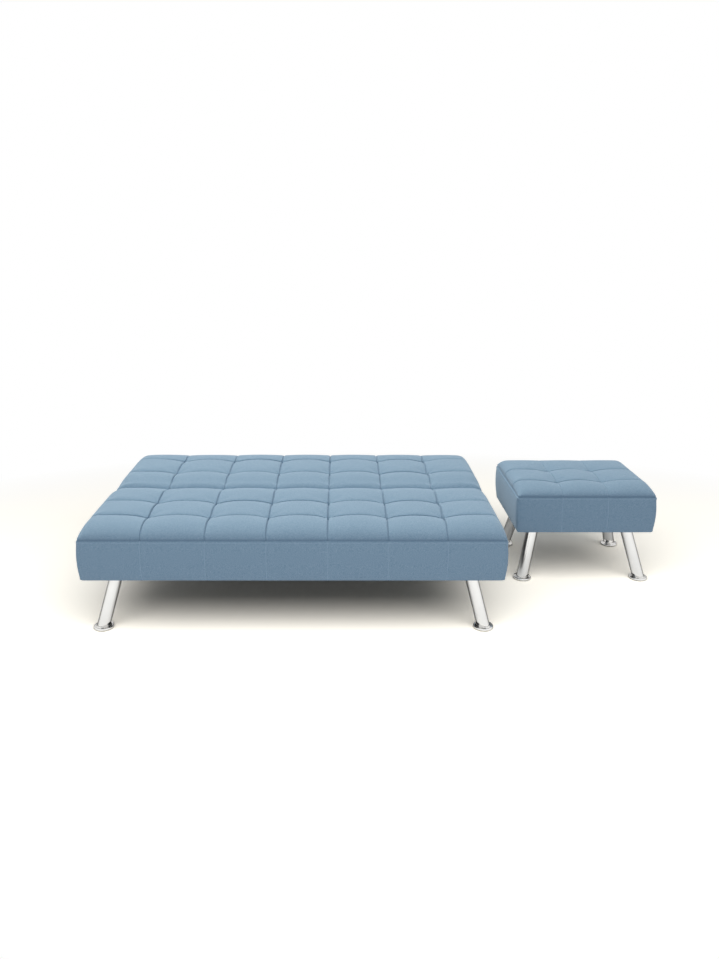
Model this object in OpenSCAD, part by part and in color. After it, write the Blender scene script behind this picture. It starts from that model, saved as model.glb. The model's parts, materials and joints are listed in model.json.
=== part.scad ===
// Tufted click-clack sofa bed, folded flat, with its matching footstool
// Millimetres, +Z up, front towards -Y, +X to the right
// The origin lies on the floor under the middle of the whole set

/* [Set] */
// Gap between the sofa's end and the footstool
set_gap = 135; // [60:5:300]
// Distance from the sofa's front panel back to the footstool's
stool_setback = 460; // [300:10:600]

/* [Sofa] */
// Width of the sofa over its side panels
sofa_w = 1680; // [1560:10:1800]
// Depth of the seat, front panel to fold line
seat_d = 560; // [500:10:640]
// Depth of the back, fold line to rear panel
back_d = 560; // [520:10:640]
// Space between seat and back at the fold
fold_gap = 6; // [5:0.5:9]
// Pillow columns across seat and back
sofa_cols = 7; // [5:1:8]
// Pillow rows on the seat and on the back
sofa_rows = 3; // [3:1:4]
// Depth of the pillow rows along the front and the rear panel
edge_row_d = 160; // [140:5:190]

/* [Footstool] */
// Width of the footstool
stool_w = 620; // [560:10:700]
// Depth of the footstool
stool_d = 490; // [440:10:600]
// How much higher the footstool's frame stands than the sofa's
stool_lift = 18; // [0:1:40]
// Pillow columns on the footstool
stool_cols = 3; // [2:1:4]
// Pillow rows on the footstool
stool_rows = 3; // [2:1:4]

/* [Upholstery] */
// Height of the upholstery's lower edge above the floor
lower_z = 215; // [205:1:240]
// Height of the border panel, lower edge to welt seam
border_h = 163; // [155:1:180]
// Height of the sewn tuft points above the welt seam
tuft_rise = 29; // [26:1:36]
// How far a sewn line rises between two tuft points
seam_rise = 14; // [6:1:18]
// How far a pillow's crown stands above its sewn lines
crown_rise = 8; // [4:1:12]
// Width over which the top rolls down to the welt seam
roll_w = 60; // [40:5:80]
// Plan radius of the outer corners
corner_r = 20; // [14:1:40]
// Plan radius of the corners at the fold
fold_corner_r = 14; // [8:1:20]
// Radius of the rolled edges along the fold
fold_r = 28; // [27:0.5:32]
// Width over which the pillows rise beside the fold
fold_calm_w = 60; // [50:5:80]
// How far the border panel is drawn in at its lower edge
drawn_in = 5; // [3:1:12]
// How far a sewn line pulls the border panel in
seam_pull = 2.5; // [1:0.5:4]
// Height of the welt seam's sewn band
welt_h = 8; // [5:1:12]
// Wadding and fabric between cover and frame
pad_t = 26; // [24:1:32]
// Wadding and fabric over the foam at the tuft points
top_pad_t = 21; // [18:1:26]
// Thickness of the fabric turned under the frame
lining_t = 2; // [1.5:0.5:3]
// Width of the fabric turned under the frame
lip_w = 24; // [20:1:26]
// Thickness of the dust cover
dust_t = 1.2; // [0.8:0.2:2]

/* [Timber frames] */
// Thickness of the frame boards
board_t = 22; // [18:1:24]
// Height of the frame boards
board_h = 70; // [64:1:76]
// Thickness of the corner boards over the legs
corner_board_t = 18; // [15:1:22]
// Width of a webbing strap
strap_w = 50; // [40:5:60]
// Thickness of a webbing strap
strap_t = 1.5; // [1:0.5:2]
// Straps from front to rear of a sofa section
sofa_straps = 11; // [8:1:14]
// Straps from side to side of a section
cross_straps = 3; // [2:1:4]
// Straps from front to rear of the footstool
stool_straps = 4; // [3:1:5]

/* [Steel base] */
// Distance from the side panel to each rail's centre line
rail_inset = 188; // [170:1:230]
// Width of the rail tube
rail_w = 40; // [30:1:44]
// Height of the rail tube
rail_h = 30; // [28:1:30]
// Wall of the rail tube
rail_wall = 2; // [1.5:0.5:3]
// Thickness of the spacers between rail and seat
spacer_t = 5.8; // [5.6:0.1:8]
// Diameter of the seat spacers
spacer_d = 32; // [26:1:38]
// Distance from the front panel to the rails' front ends
rail_setback = 140; // [120:5:160]
// Distance from the fold to the rear cross tube's centre line
rear_cross_y = 180; // [170:5:200]
// Distance from the front panel to the front cross tube's centre line
front_cross_y = 200; // [180:5:240]
// Thickness of a tube end cap's flange
cap_t = 3; // [2:0.5:4]
// Depth to which an end cap's plug enters the tube
cap_plug = 8; // [6:1:9]

/* [Legs] */
// Diameter of the leg tubes
leg_d = 50.8; // [45:0.1:52]
// Wall of the leg tubes
leg_wall = 1.5; // [1:0.1:2.5]
// Lean of a leg seen from the front, and from the side
splay_deg = 14; // [8:1:16]
// Diameter of the flange feet
foot_d = 80; // [70:1:90]
// Height of the flange feet
foot_h = 9; // [7:1:12]
// Height of the glide pads
glide_h = 3; // [2:0.5:4]
// Diameter of the glide pads
glide_d = 70; // [60:1:76]
// Side of the square plate on top of a leg
leg_plate_w = 100; // [90:1:106]
// Thickness of the plate on top of a leg
leg_plate_t = 3; // [2:0.5:3]
// Distance from the plate's edge to its holes
leg_hole_inset = 12; // [10:1:14]
// Distance from the side panel to the sofa feet
foot_inset = 80; // [74:1:90]
// Distance from the front panel to the front feet
front_foot_inset = 45; // [42:1:60]
// Distance from the panels to the footstool's feet
stool_foot_inset = 45; // [42:1:56]

/* [Hinge] */
// Angle from flat to upright
upright_deg = 75; // [60:15:75]
// Thickness of the ratchet plate and of the hinge arm
hinge_t = 6; // [5:0.5:7]
// Thickness of the washer between plate and arm
washer_t = 2; // [1.5:0.5:3]
// Radius of the plates around the pivot
hub_r = 19.5; // [17:0.5:19.5]
// Radius of the pivot bolt's shank
pivot_r = 5; // [4:0.5:6]
// Radius of the ratchet's toothed edge
ratchet_r = 68; // [66:0.5:70]
// Angle between two notches of the ratchet
notch_step = 15; // [15:15:15]
// Radius of the pawl's tooth
tooth_r = 4; // [3:0.25:4.25]
// How far a seated tooth's centre lies inside the toothed edge
notch_depth = 5; // [4:0.5:5.5]
// Distance from pivot to pawl pin
pawl_pin_dist = 92; // [90:0.5:94]
// Radius of the pawl's pin
pawl_pin_r = 4; // [3:0.5:4.5]
// Half the width of the pawl's body
pawl_half_w = 5; // [4:0.5:5.5]
// Turn of the pawl between lifted and seated
pawl_lift_deg = 15; // [13:1:16]
// Half the width of the hinge arm
arm_half_w = 18; // [14:1:18]
// Length of the hinge arm along the back's frame
arm_len = 160; // [120:10:200]
// Radius of the arm's bolts
arm_bolt_r = 4; // [3:0.5:4]
// Wire radius of the pawl spring
spring_wire_r = 0.8; // [0.6:0.1:1]

/* [Hidden] */
$fn = 64;

fabric_blue = [0.42, 0.54, 0.67];
foam_cream = [0.93, 0.90, 0.80];
timber = [0.78, 0.63, 0.43];
black_cloth = [0.10, 0.10, 0.11];
black_steel = [0.14, 0.14, 0.15];
zinc = [0.72, 0.73, 0.74];
chrome = [0.82, 0.83, 0.85];
black_plastic = [0.08, 0.08, 0.08];

// Clearance of a loose fit, and of pieces that move past each other
fit = 0.3;
// Radial clearance of a shaft in its bore
run_fit = 0.06;
// One overrun for every cut
cut_over = 5;

// Places of the set: the fold line is the sofa's own middle
total_w = sofa_w + set_gap + stool_w;
sofa_x = (sofa_w - total_w) / 2;
fold_y = (seat_d - back_d) / 2;
stool_x = (total_w - stool_w) / 2;
stool_y = fold_y - seat_d + stool_setback + stool_d / 2;

// Heights of the upholstery
welt_z = lower_z + border_h;
tuft_z = welt_z + tuft_rise;
dust_z = lower_z - dust_t;
frame_z = lower_z + lining_t + fit;
strap_z = frame_z + board_h;
foam_z = strap_z + 2 * strap_t + fit;
foam_top_z = tuft_z - top_pad_t;
sofa_half = sofa_w / 2;
stool_half = stool_w / 2;
seat_span = [-seat_d, -fold_gap / 2];
back_span = [fold_gap / 2, back_d];
stool_span = [-stool_d / 2, stool_d / 2];

// Sampling of the pillows, as shares of a pillow's width or depth
cell_shares = [0, 0.1, 0.35, 0.65, 0.9];
edge_shares = [0, 0.04, 0.13, 0.35, 0.65, 0.9];
fold_angles = [0, 30, 60];
mid_border_share = 0.45;
mid_pull_share = 0.3;
pinch_power = 0.7;

function cell(a, b, shares) = [for (s = shares) [a + s * (b - a), s]];
function flip(list) = [for (i = [len(list) - 1:-1:0]) list[i]];
function toward(a, b) = b > a ? 1 : -1;
function fold_lead(a, b) = concat(
  [for (t = fold_angles) [a + toward(a, b) * fold_r * (1 - cos(t)), 0]],
  cell(a + toward(a, b) * fold_r, b, cell_shares));
function lead(kind, a, b) = kind == "fold" ? fold_lead(a, b) : cell(a, b, edge_shares);
function run(lines, first, last) =
  let (n = len(lines) - 1)
  concat(
    lead(first, lines[0], lines[1]),
    [for (i = [1:1:n - 2]) each cell(lines[i], lines[i + 1], cell_shares)],
    flip(concat(lead(last, lines[n], lines[n - 1]), [[lines[n - 1], 1]])));
function even_lines(a, b, n) = [for (i = [0:n]) a + (b - a) * i / n];

seat_rows = concat([-seat_d], even_lines(edge_row_d - seat_d, -fold_gap / 2, sofa_rows - 1));
back_rows = concat(even_lines(fold_gap / 2, back_d - edge_row_d, sofa_rows - 1), [back_d]);
sofa_lines = even_lines(-sofa_half, sofa_half, sofa_cols);
stool_lines = even_lines(-stool_half, stool_half, stool_cols);
stool_rows_y = even_lines(stool_span[0], stool_span[1], stool_rows);

// Height of the top: sewn lines sag between the tuft points, pillows crown between the lines
function pinch(u) = pow(abs(sin(180 * u)), pinch_power);
function lift(u, v) =
  let (a = pinch(u), b = pinch(v))
  seam_rise * (a + b - a * b) + crown_rise * a * b;
function rolled(d) = d >= roll_w ? 1 : sqrt(d / roll_w * (2 - d / roll_w));
function fold_drop(d) = d >= fold_r ? 0 : fold_r - sqrt(pow(fold_r, 2) - pow(fold_r - d, 2));
function fold_calm(d) = max(0, min(1, (d - fold_r) / fold_calm_w));
function side_roll(kind, d) = kind == "fold" ? 1 : rolled(d);
function side_drop(kind, d) = kind == "fold" ? fold_drop(d) : 0;
function side_calm(kind, d) = kind == "fold" ? fold_calm(d) : 1;
function top_z(half, span, front, rear, sx, sy) =
  let (
    df = sy[0] - span[0],
    dr = span[1] - sy[0],
    k = rolled(half - abs(sx[0])) * side_roll(front, df) * side_roll(rear, dr),
    drop = side_drop(front, df) + side_drop(rear, dr),
    calm = side_calm(front, df) * side_calm(rear, dr)
  )
  welt_z + k * (tuft_rise - drop + calm * lift(sx[1], sy[1]));

// A point of the square grid drawn onto the plan's rounded corners
function round_off(p, half, span, front, rear) =
  let (
    yc = (span[0] + span[1]) / 2,
    hy = (span[1] - span[0]) / 2,
    kind = p[1] < yc ? front : rear,
    r = kind == "fold" ? fold_corner_r : corner_r,
    a = max(0, abs(p[0]) - half + r) / r,
    b = max(0, abs(p[1] - yc) - hy + r) / r,
    x = half - r + r * a * sqrt(1 - b * b / 2),
    y = hy - r + r * b * sqrt(1 - a * a / 2)
  )
  a > 0 && b > 0 ? [sign(p[0]) * x, yc + sign(p[1] - yc) * y] : p;

// Closed outer skin of a tufted section: pillowed top, border panel, flat bottom
module tufted_block(half, span, lines, rows, front, rear) {
  xs = run(lines, "edge", "edge");
  ys = run(rows, front, rear);
  nx = len(xs) - 1;
  ny = len(ys) - 1;
  yc = (span[0] + span[1]) / 2;
  hy = (span[1] - span[0]) / 2;
  top = [for (j = [0:ny], i = [0:nx])
    let (q = round_off([xs[i][0], ys[j][0]], half, span, front, rear))
    [q[0], q[1], top_z(half, span, front, rear, xs[i], ys[j])]];
  rim = concat(
    [for (i = [0:nx]) [i, xs[i][1]]],
    [for (j = [1:ny]) [j * (nx + 1) + nx, ys[j][1]]],
    [for (i = [nx - 1:-1:0]) [ny * (nx + 1) + i, xs[i][1]]],
    [for (j = [ny - 1:-1:1]) [j * (nx + 1), ys[j][1]]]);
  nr = len(rim);
  levels = [
    [welt_z - welt_h, mid_pull_share * seam_pull],
    [lower_z + mid_border_share * border_h, mid_pull_share * drawn_in],
    [lower_z, drawn_in]
  ];
  skirt = [for (level = levels, e = rim)
    let (
      p = top[e[0]],
      in = level[1] + seam_pull * (1 - pinch(e[1]))
    )
    [p[0] * (1 - in / half), yc + (p[1] - yc) * (1 - in / hy), level[0]]];
  base = len(top);
  centre = base + len(skirt);
  function ring(k, i) = k == 0 ? rim[i % nr][0] : base + (k - 1) * nr + i % nr;
  top_faces = [for (j = [0:ny - 1], i = [0:nx - 1])
    let (a = j * (nx + 1) + i, b = a + nx + 1)
    each ((xs[i][1] < 0.5) == (ys[j][1] < 0.5)
      ? [[a, b, b + 1], [a, b + 1, a + 1]]
      : [[a, b, a + 1], [b, b + 1, a + 1]])];
  side_faces = [for (k = [0:len(levels) - 1], i = [0:nr - 1])
    each [
      [ring(k, i), ring(k, i + 1), ring(k + 1, i + 1)],
      [ring(k, i), ring(k + 1, i + 1), ring(k + 1, i)]
    ]];
  bottom_faces = [for (i = [0:nr - 1]) [centre, ring(len(levels), i), ring(len(levels), i + 1)]];
  polyhedron(
    points = concat(top, skirt, [[0, yc, lower_z]]),
    faces = concat(top_faces, side_faces, bottom_faces));
}

// A box between two corners
module between(low, high) translate(low) cube(high - low);

// The room inside a cover: foam and frame above, the turned-under fabric's opening below
module cover_room(half, span) {
  between(
    [pad_t - half, span[0] + pad_t, lower_z + lining_t],
    [half - pad_t, span[1] - pad_t, foam_top_z]);
  between(
    [lip_w + pad_t - half, span[0] + lip_w + pad_t, lower_z - cut_over],
    [half - lip_w - pad_t, span[1] - lip_w - pad_t, lower_z + lining_t + cut_over]);
}

module section_cover(half, span, lines, rows, front, rear) {
  difference() {
    tufted_block(half, span, lines, rows, front, rear);
    cover_room(half, span);
  }
}

module section_foam(half, span) {
  between(
    [pad_t + fit - half, span[0] + pad_t + fit, foam_z],
    [half - pad_t - fit, span[1] - pad_t - fit, foam_top_z - fit]);
}

// Four boards glued into a ring
module frame_ring(half, span) {
  x = half - pad_t - fit;
  y = [span[0] + pad_t + fit, span[1] - pad_t - fit];
  difference() {
    between([-x, y[0], frame_z], [x, y[1], strap_z]);
    between(
      [board_t - x, y[0] + board_t, frame_z - cut_over],
      [x - board_t, y[1] - board_t, strap_z + cut_over]);
  }
}

// Straps stapled over the ring, one layer each way
module webbing(half, span, straps) {
  x = half - pad_t - board_t;
  y = [span[0] + pad_t + fit, span[1] - pad_t - fit];
  for (i = [0.5:straps - 0.5])
    translate([x * (2 * i / straps - 1) - strap_w / 2, y[0], strap_z])
      cube([strap_w, y[1] - y[0], strap_t]);
  for (i = [1:cross_straps])
    translate([-half + pad_t + fit, y[0] + (y[1] - y[0]) * i / (cross_straps + 1) - strap_w / 2,
      strap_z + strap_t])
      cube([2 * (half - pad_t - fit), strap_w, strap_t]);
}

module dust_sheet(half, span) {
  edge = drawn_in + seam_pull + pad_t / 2;
  between([edge - half, span[0] + edge, dust_z], [half - edge, span[1] - edge, lower_z]);
}

// Legs: a tube that leans outwards both ways, welded under a plate
foot_top_z = glide_h + foot_h;
leg_r = leg_d / 2;
splay = tan(splay_deg);
leg_tilt = atan(sqrt(2) * splay);
// Half the length of the ellipse where a leg meets its plate or foot
leg_reach = leg_r / cos(leg_tilt);
seat_plate_z = dust_z - leg_plate_t;
// Space between a cross tube and the leg beside it
weld_room = 4;
screw_r = 2.5;
screw_head_r = 4.6;
screw_head_h = 2.4;
screw_len = 16;
foot_edge_r = 5;
foot_bevel = 1.2;
edge_angles = [0, 30, 60, 90];

function top_shift(plate_z) = splay * (plate_z - foot_top_z);

module leg_tube(plate_z, out) {
  difference() {
    intersection() {
      translate([0, 0, foot_top_z])
        rotate([0, leg_tilt, atan2(-out[1], -out[0])])
          translate([0, 0, -leg_d])
            cylinder(r = leg_r, h = plate_z + 2 * leg_d);
      between([-plate_z, -plate_z, foot_top_z], [plate_z, plate_z, plate_z]);
    }
    translate([0, 0, foot_top_z])
      rotate([0, leg_tilt, atan2(-out[1], -out[0])])
        translate([0, 0, -2 * leg_d])
          cylinder(r = leg_r - leg_wall, h = plate_z + 4 * leg_d);
  }
}

// Plate with a hole near each corner; its far edge can run on to reach a cross tube
module leg_plate(reach) {
  w = leg_plate_w / 2;
  holes = leg_plate_holes(reach);
  difference() {
    between([-w, -reach, 0], [w, w, leg_plate_t]);
    for (p = holes)
      translate([p[0], p[1], -cut_over])
        cylinder(r = screw_r + run_fit, h = leg_plate_t + 2 * cut_over, $fn = 24);
  }
}

function leg_plate_holes(reach) =
  let (w = leg_plate_w / 2 - leg_hole_inset)
  [[-w, leg_hole_inset - reach], [w, leg_hole_inset - reach], [-w, w], [w, w]];

module leg(plate_z, out, reach = leg_plate_w / 2) {
  color(chrome) {
    leg_tube(plate_z, out);
    translate([-out[0] * top_shift(plate_z), -out[1] * top_shift(plate_z), plate_z])
      leg_plate(reach);
  }
}

// Flange foot: a turned disc with a rounded rim
module foot() {
  r = foot_d / 2;
  arc_c = [r - foot_edge_r, foot_h - foot_edge_r];
  color(chrome)
    translate([0, 0, glide_h])
      rotate_extrude()
        polygon(concat(
          [[0, 0], [r - foot_bevel, 0], [r, foot_bevel]],
          [for (a = edge_angles) arc_c + foot_edge_r * [cos(a), sin(a)]],
          [[0, foot_h]]));
}

module glide() {
  color(black_plastic) cylinder(d = glide_d, h = glide_h);
}

module leg_screw() {
  translate([0, 0, -screw_head_h]) cylinder(r = screw_head_r, h = screw_head_h, $fn = 24);
  cylinder(r = screw_r, h = screw_len, $fn = 24);
}

module leg_screw_hole() {
  translate([0, 0, -cut_over])
    cylinder(r = screw_r + run_fit, h = screw_len + cut_over + fit, $fn = 24);
}

// Corners of the sofa: right or left, front or rear
foot_x = sofa_half - foot_inset;
rail_x = sofa_half - rail_inset;
front_foot_y = front_foot_inset - seat_d;
rail_top_z = dust_z - spacer_t;
rail_z = rail_top_z - rail_h;
rear_top_y = rear_cross_y + rail_w / 2 + leg_reach + weld_room;
rear_foot_y = rear_top_y + top_shift(rail_top_z);
rear_plate_reach = rear_top_y - rear_cross_y + rail_w / 2;
front_top = [foot_x - top_shift(seat_plate_z), front_foot_y + top_shift(seat_plate_z)];
rear_top = [foot_x - top_shift(rail_top_z), rear_top_y];

module at_front_foot(side) translate([side * foot_x, front_foot_y, 0]) children();
module at_rear_foot(side) translate([side * foot_x, rear_foot_y, 0]) children();
module on_sofa() translate([sofa_x, fold_y, 0]) children();
module on_stool(z = 0) translate([stool_x, stool_y, z]) children();
module both_sides() {
  children();
  mirror([1, 0, 0]) children();
}

module front_leg(side) on_sofa() at_front_foot(side) leg(seat_plate_z, [side, -1]);
module rear_leg(side) on_sofa() at_rear_foot(side) leg(rail_top_z, [side, 1], rear_plate_reach);
module front_foot(side) on_sofa() at_front_foot(side) foot();
module rear_foot(side) on_sofa() at_rear_foot(side) foot();

module sofa_glides() {
  on_sofa()
    for (side = [-1, 1]) {
      at_front_foot(side) glide();
      at_rear_foot(side) glide();
    }
}

module front_leg_holes() {
  for (side = [-1, 1], p = leg_plate_holes(leg_plate_w / 2))
    translate([side * front_top[0] + p[0], front_top[1] + p[1], seat_plate_z])
      children();
}

module leg_screws() {
  color(zinc) on_sofa() front_leg_holes() leg_screw();
}

// Steel base under the seat
rail_front_y = rail_setback - seat_d;
rail_rear_y = rear_cross_y - rail_w / 2;
front_cross = front_cross_y - seat_d;
rail_in_x = rail_x - rail_w / 2;
rail_out_x = rail_x + rail_w / 2;
rear_cross_half = rear_top[0] + leg_plate_w / 2;
spacer_ys = [rail_front_y + rail_w, -rail_w - pad_t];
bolt_r = 4;
bolt_head_r = 7.5;
bolt_head_h = 5;
bolt_entry = 30;
fold_pivot_z = tuft_z - fold_r;

module box_tube(low, high, along) {
  wall = [for (i = [0:2]) i == along ? -cut_over : rail_wall];
  difference() {
    between(low, high);
    between(low + wall, high - wall);
  }
}

module rail_bolt_places() {
  for (y = spacer_ys) translate([rail_x, y, 0]) children();
}

module rail_bolt_hole() {
  translate([0, 0, rail_z - cut_over])
    cylinder(r = bolt_r + run_fit, h = frame_z + bolt_entry + fit - rail_z + cut_over, $fn = 24);
}

module right_rail() {
  difference() {
    box_tube([rail_in_x, rail_front_y, rail_z], [rail_out_x, rail_rear_y, rail_top_z], 1);
    rail_bolt_places() rail_bolt_hole();
    hinge_foot_bolt_places() rotate([0, 90, 0])
      cylinder(r = bolt_r + run_fit, h = rail_out_x + cut_over, $fn = 24);
  }
}

module base_rail_right() color(black_steel) on_sofa() right_rail();
module base_rail_left() color(black_steel) on_sofa() mirror([1, 0, 0]) right_rail();

module base_cross_front() {
  color(black_steel) on_sofa()
    box_tube(
      [-rail_in_x, front_cross - rail_w / 2, rail_z],
      [rail_in_x, front_cross + rail_w / 2, rail_top_z], 0);
}

module rear_plate_bolt_places() {
  for (side = [-1, 1], e = [-1, 1])
    translate([side * rear_top[0] + e * (leg_plate_w / 2 - leg_hole_inset),
      rear_top_y - rear_plate_reach + leg_hole_inset, rail_top_z])
      children();
}

module base_cross_rear() {
  color(black_steel) on_sofa()
    difference() {
      box_tube(
        [-rear_cross_half, rear_cross_y - rail_w / 2, rail_z],
        [rear_cross_half, rear_cross_y + rail_w / 2, rail_top_z], 0);
      rear_plate_bolt_places()
        cylinder(r = screw_r + run_fit, h = 2 * rail_wall + cut_over, center = true, $fn = 24);
    }
}

// A plug with a flange; it stands on the tube's end and points along +Y
module end_cap() {
  w = rail_w / 2;
  h = rail_h / 2;
  in = rail_wall + fit;
  between([-w, -cap_t, -h], [w, 0, h]);
  between([in - w, 0, in - h], [w - in, cap_plug, h - in]);
}

module base_end_caps() {
  z = (rail_z + rail_top_z) / 2;
  color(black_plastic) on_sofa()
    both_sides() {
      translate([rail_x, rail_front_y, z]) end_cap();
      translate([rear_cross_half, rear_cross_y, z]) rotate([0, 0, 90]) end_cap();
    }
}

module seat_spacers() {
  color(black_plastic) on_sofa()
    both_sides()
      rail_bolt_places()
        translate([0, 0, rail_top_z])
          difference() {
            cylinder(d = spacer_d, h = spacer_t);
            translate([0, 0, -cut_over])
              cylinder(r = bolt_r + run_fit, h = spacer_t + 2 * cut_over, $fn = 24);
          }
}

// Rubber strips on the leg plates carry the flat back
stop_pad_t = spacer_t - leg_plate_t - fit;

module back_stop_pads() {
  w = leg_plate_w / 2 - 2 * leg_hole_inset;
  color(black_plastic) on_sofa()
    for (side = [-1, 1])
      translate([side * rear_top[0], rear_top_y - rear_plate_reach + leg_hole_inset, 0])
        between(
          [-w, -leg_hole_inset / 2, rail_top_z + leg_plate_t],
          [w, rail_w, rail_top_z + leg_plate_t + stop_pad_t]);
}

module hex_bolt(length) {
  translate([0, 0, -bolt_head_h]) cylinder(r = bolt_head_r, h = bolt_head_h, $fn = 6);
  cylinder(r = bolt_r, h = length, $fn = 24);
}

module base_bolts() {
  color(zinc) on_sofa() {
    both_sides() {
      rail_bolt_places() translate([0, 0, rail_z]) hex_bolt(frame_z + bolt_entry - rail_z);
      hinge_foot_bolt_places()
        translate([rail_out_x + hinge_t, 0, 0])
          rotate([0, -90, 0])
            hex_bolt(hinge_t + rail_w);
    }
    rear_plate_bolt_places()
      translate([0, 0, leg_plate_t]) rotate([180, 0, 0]) leg_screw_short();
  }
}

module leg_screw_short() {
  translate([0, 0, -screw_head_h / 2]) cylinder(r = screw_head_r, h = screw_head_h / 2, $fn = 24);
  cylinder(r = screw_r, h = leg_plate_t + 2 * rail_wall, $fn = 24);
}

// Seat
leg_board_x = [rail_x + board_t / 2, sofa_half - pad_t - fit - board_t];
leg_board_y = [pad_t + fit + board_t - seat_d, front_top[1] + leg_plate_w / 2 + leg_hole_inset];

module seat_cover() {
  color(fabric_blue) on_sofa()
    section_cover(sofa_half, seat_span, sofa_lines, seat_rows, "edge", "fold");
}

module seat_foam() color(foam_cream) on_sofa() section_foam(sofa_half, seat_span);

module seat_frame() {
  y = [seat_span[0] + pad_t + fit + board_t / 2, seat_span[1] - pad_t - fit - board_t / 2];
  color(timber) on_sofa()
    difference() {
      union() {
        frame_ring(sofa_half, seat_span);
        for (x = [-rail_x, 0, rail_x])
          between([x - board_t / 2, y[0], frame_z], [x + board_t / 2, y[1], strap_z]);
        both_sides()
          between(
            [leg_board_x[0], leg_board_y[0], frame_z],
            [leg_board_x[1], leg_board_y[1], frame_z + corner_board_t]);
      }
      front_leg_holes() leg_screw_hole();
      both_sides() rail_bolt_places() rail_bolt_hole();
    }
}

module seat_webbing() color(black_cloth) on_sofa() webbing(sofa_half, seat_span, sofa_straps);

module seat_dust_cover() {
  color(black_cloth) on_sofa()
    difference() {
      dust_sheet(sofa_half, seat_span);
      front_leg_holes() leg_screw_hole();
      both_sides() rail_bolt_places() rail_bolt_hole();
    }
}

// Hinge: everything is drawn on the right, in the plane of the side, from the pivot
pivot_y = fold_gap / 2 + fold_r;
plate_x = rail_out_x;
washer_x = plate_x + hinge_t + fit;
arm_x = washer_x + washer_t;
arm_end_x = arm_x + hinge_t;
pivot_head_r = 9.8;
pivot_head_h = 6;
nut_h = 6;
washer_r = 16;
// Place of the seated tooth around the pivot, and what follows from the pawl's turn
tooth_deg = 284;
elbow_deg = 285;
pawl_pin_deg = 312;
elbow_rise = 9.5;
sector_margin_deg = 10;
sector_start_deg = 262;
foot_reach = [-100, 80];
foot_round = 12;
foot_bolts = [-70, 55];

function polar(r, a) = r * [cos(a), sin(a)];
function about(p, c, a) =
  let (d = p - c)
  c + [d[0] * cos(a) - d[1] * sin(a), d[0] * sin(a) + d[1] * cos(a)];

pawl_pin = polar(pawl_pin_dist, pawl_pin_deg);
tooth_in = polar(ratchet_r - notch_depth, tooth_deg);
elbow_in = polar(ratchet_r + elbow_rise, elbow_deg);
tooth_mid = about(tooth_in, pawl_pin, pawl_lift_deg / 2);
elbow_mid = about(elbow_in, pawl_pin, pawl_lift_deg / 2);
tooth_out = about(tooth_in, pawl_pin, pawl_lift_deg);
elbow_out = about(elbow_in, pawl_pin, pawl_lift_deg);

// Lower edge of the rail and of the seat, seen from the pivot
rail_low = rail_z - fold_pivot_z;
rail_high = rail_top_z - fold_pivot_z;
post_x = [-30, 8];
post_neck = -5;

module at_pivot() translate([0, pivot_y, fold_pivot_z]) children();

// A flat shape of the side plane, thickened along +X from x0
module side_plate(x0, t) translate([x0, 0, 0]) rotate([90, 0, 90]) linear_extrude(t) children();

module strip2d(p, q, r) {
  d = q - p;
  translate(p) rotate(atan2(d[1], d[0])) translate([0, -r]) square([norm(d), 2 * r]);
}

module bar2d(p, q, r) {
  translate(p) circle(r = r);
  translate(q) circle(r = r);
  strip2d(p, q, r);
}

module hinge_foot_bolt_places() {
  for (y = foot_bolts)
    translate([0, pivot_y + y, (rail_z + rail_top_z) / 2]) children();
}

module sector2d(r, a0, a1) {
  steps = 8;
  polygon(concat([[0, 0]], [for (i = [0:steps]) polar(r, a0 + (a1 - a0) * i / steps)]));
}

module ratchet_outline() {
  end_deg = tooth_deg + upright_deg + sector_margin_deg;
  difference() {
    union() {
      circle(r = hub_r);
      intersection() {
        circle(r = ratchet_r);
        sector2d(2 * ratchet_r, sector_start_deg, end_deg);
      }
      polygon([
        [post_neck, -hub_r / 2], [post_neck, -fold_r], [post_x[0], post_neck - ratchet_r],
        [post_x[0], rail_low + foot_round], [post_x[1], rail_low + foot_round],
        [post_x[1], -hub_r / 2]
      ]);
      hull() {
        for (y = foot_reach)
          translate([y - sign(y) * foot_round, (rail_low + rail_high) / 2])
            circle(r = foot_round, $fn = 32);
      }
    }
    for (a = [0:notch_step:upright_deg])
      rotate(a) {
        bar2d(tooth_in, elbow_in, tooth_r + fit);
        bar2d(tooth_mid, elbow_mid, tooth_r + fit);
        strip2d(tooth_in, tooth_mid, tooth_r + fit);
        bar2d(tooth_mid, tooth_out, tooth_r + fit);
      }
  }
}

module ratchet_plate() {
  color(zinc)
    difference() {
      at_pivot() side_plate(plate_x, hinge_t) ratchet_outline();
      at_pivot() rotate([0, 90, 0])
        cylinder(r = pivot_r + run_fit, h = 4 * sofa_half, center = true, $fn = 48);
      hinge_foot_bolt_places() rotate([0, 90, 0])
        cylinder(r = bolt_r + run_fit, h = 4 * sofa_half, center = true, $fn = 24);
    }
}

module ratchet_plate_right() on_sofa() ratchet_plate();
module ratchet_plate_left() on_sofa() mirror([1, 0, 0]) ratchet_plate();

module pivot_bolt() {
  color(zinc)
    at_pivot() {
      translate([plate_x - nut_h - bolt_r / 2, 0, 0]) rotate([0, 90, 0])
        cylinder(r = pivot_r, h = arm_end_x + 2 * fit - plate_x + nut_h + bolt_r / 2, $fn = 48);
      translate([arm_end_x + fit, 0, 0]) rotate([0, 90, 0])
        cylinder(r = pivot_head_r, h = pivot_head_h, $fn = 6);
      translate([plate_x - nut_h, 0, 0]) rotate([0, 90, 0])
        cylinder(r = pivot_head_r, h = nut_h, $fn = 6);
    }
}

module pivot_bolt_right() on_sofa() pivot_bolt();
module pivot_bolt_left() on_sofa() mirror([1, 0, 0]) pivot_bolt();

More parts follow.
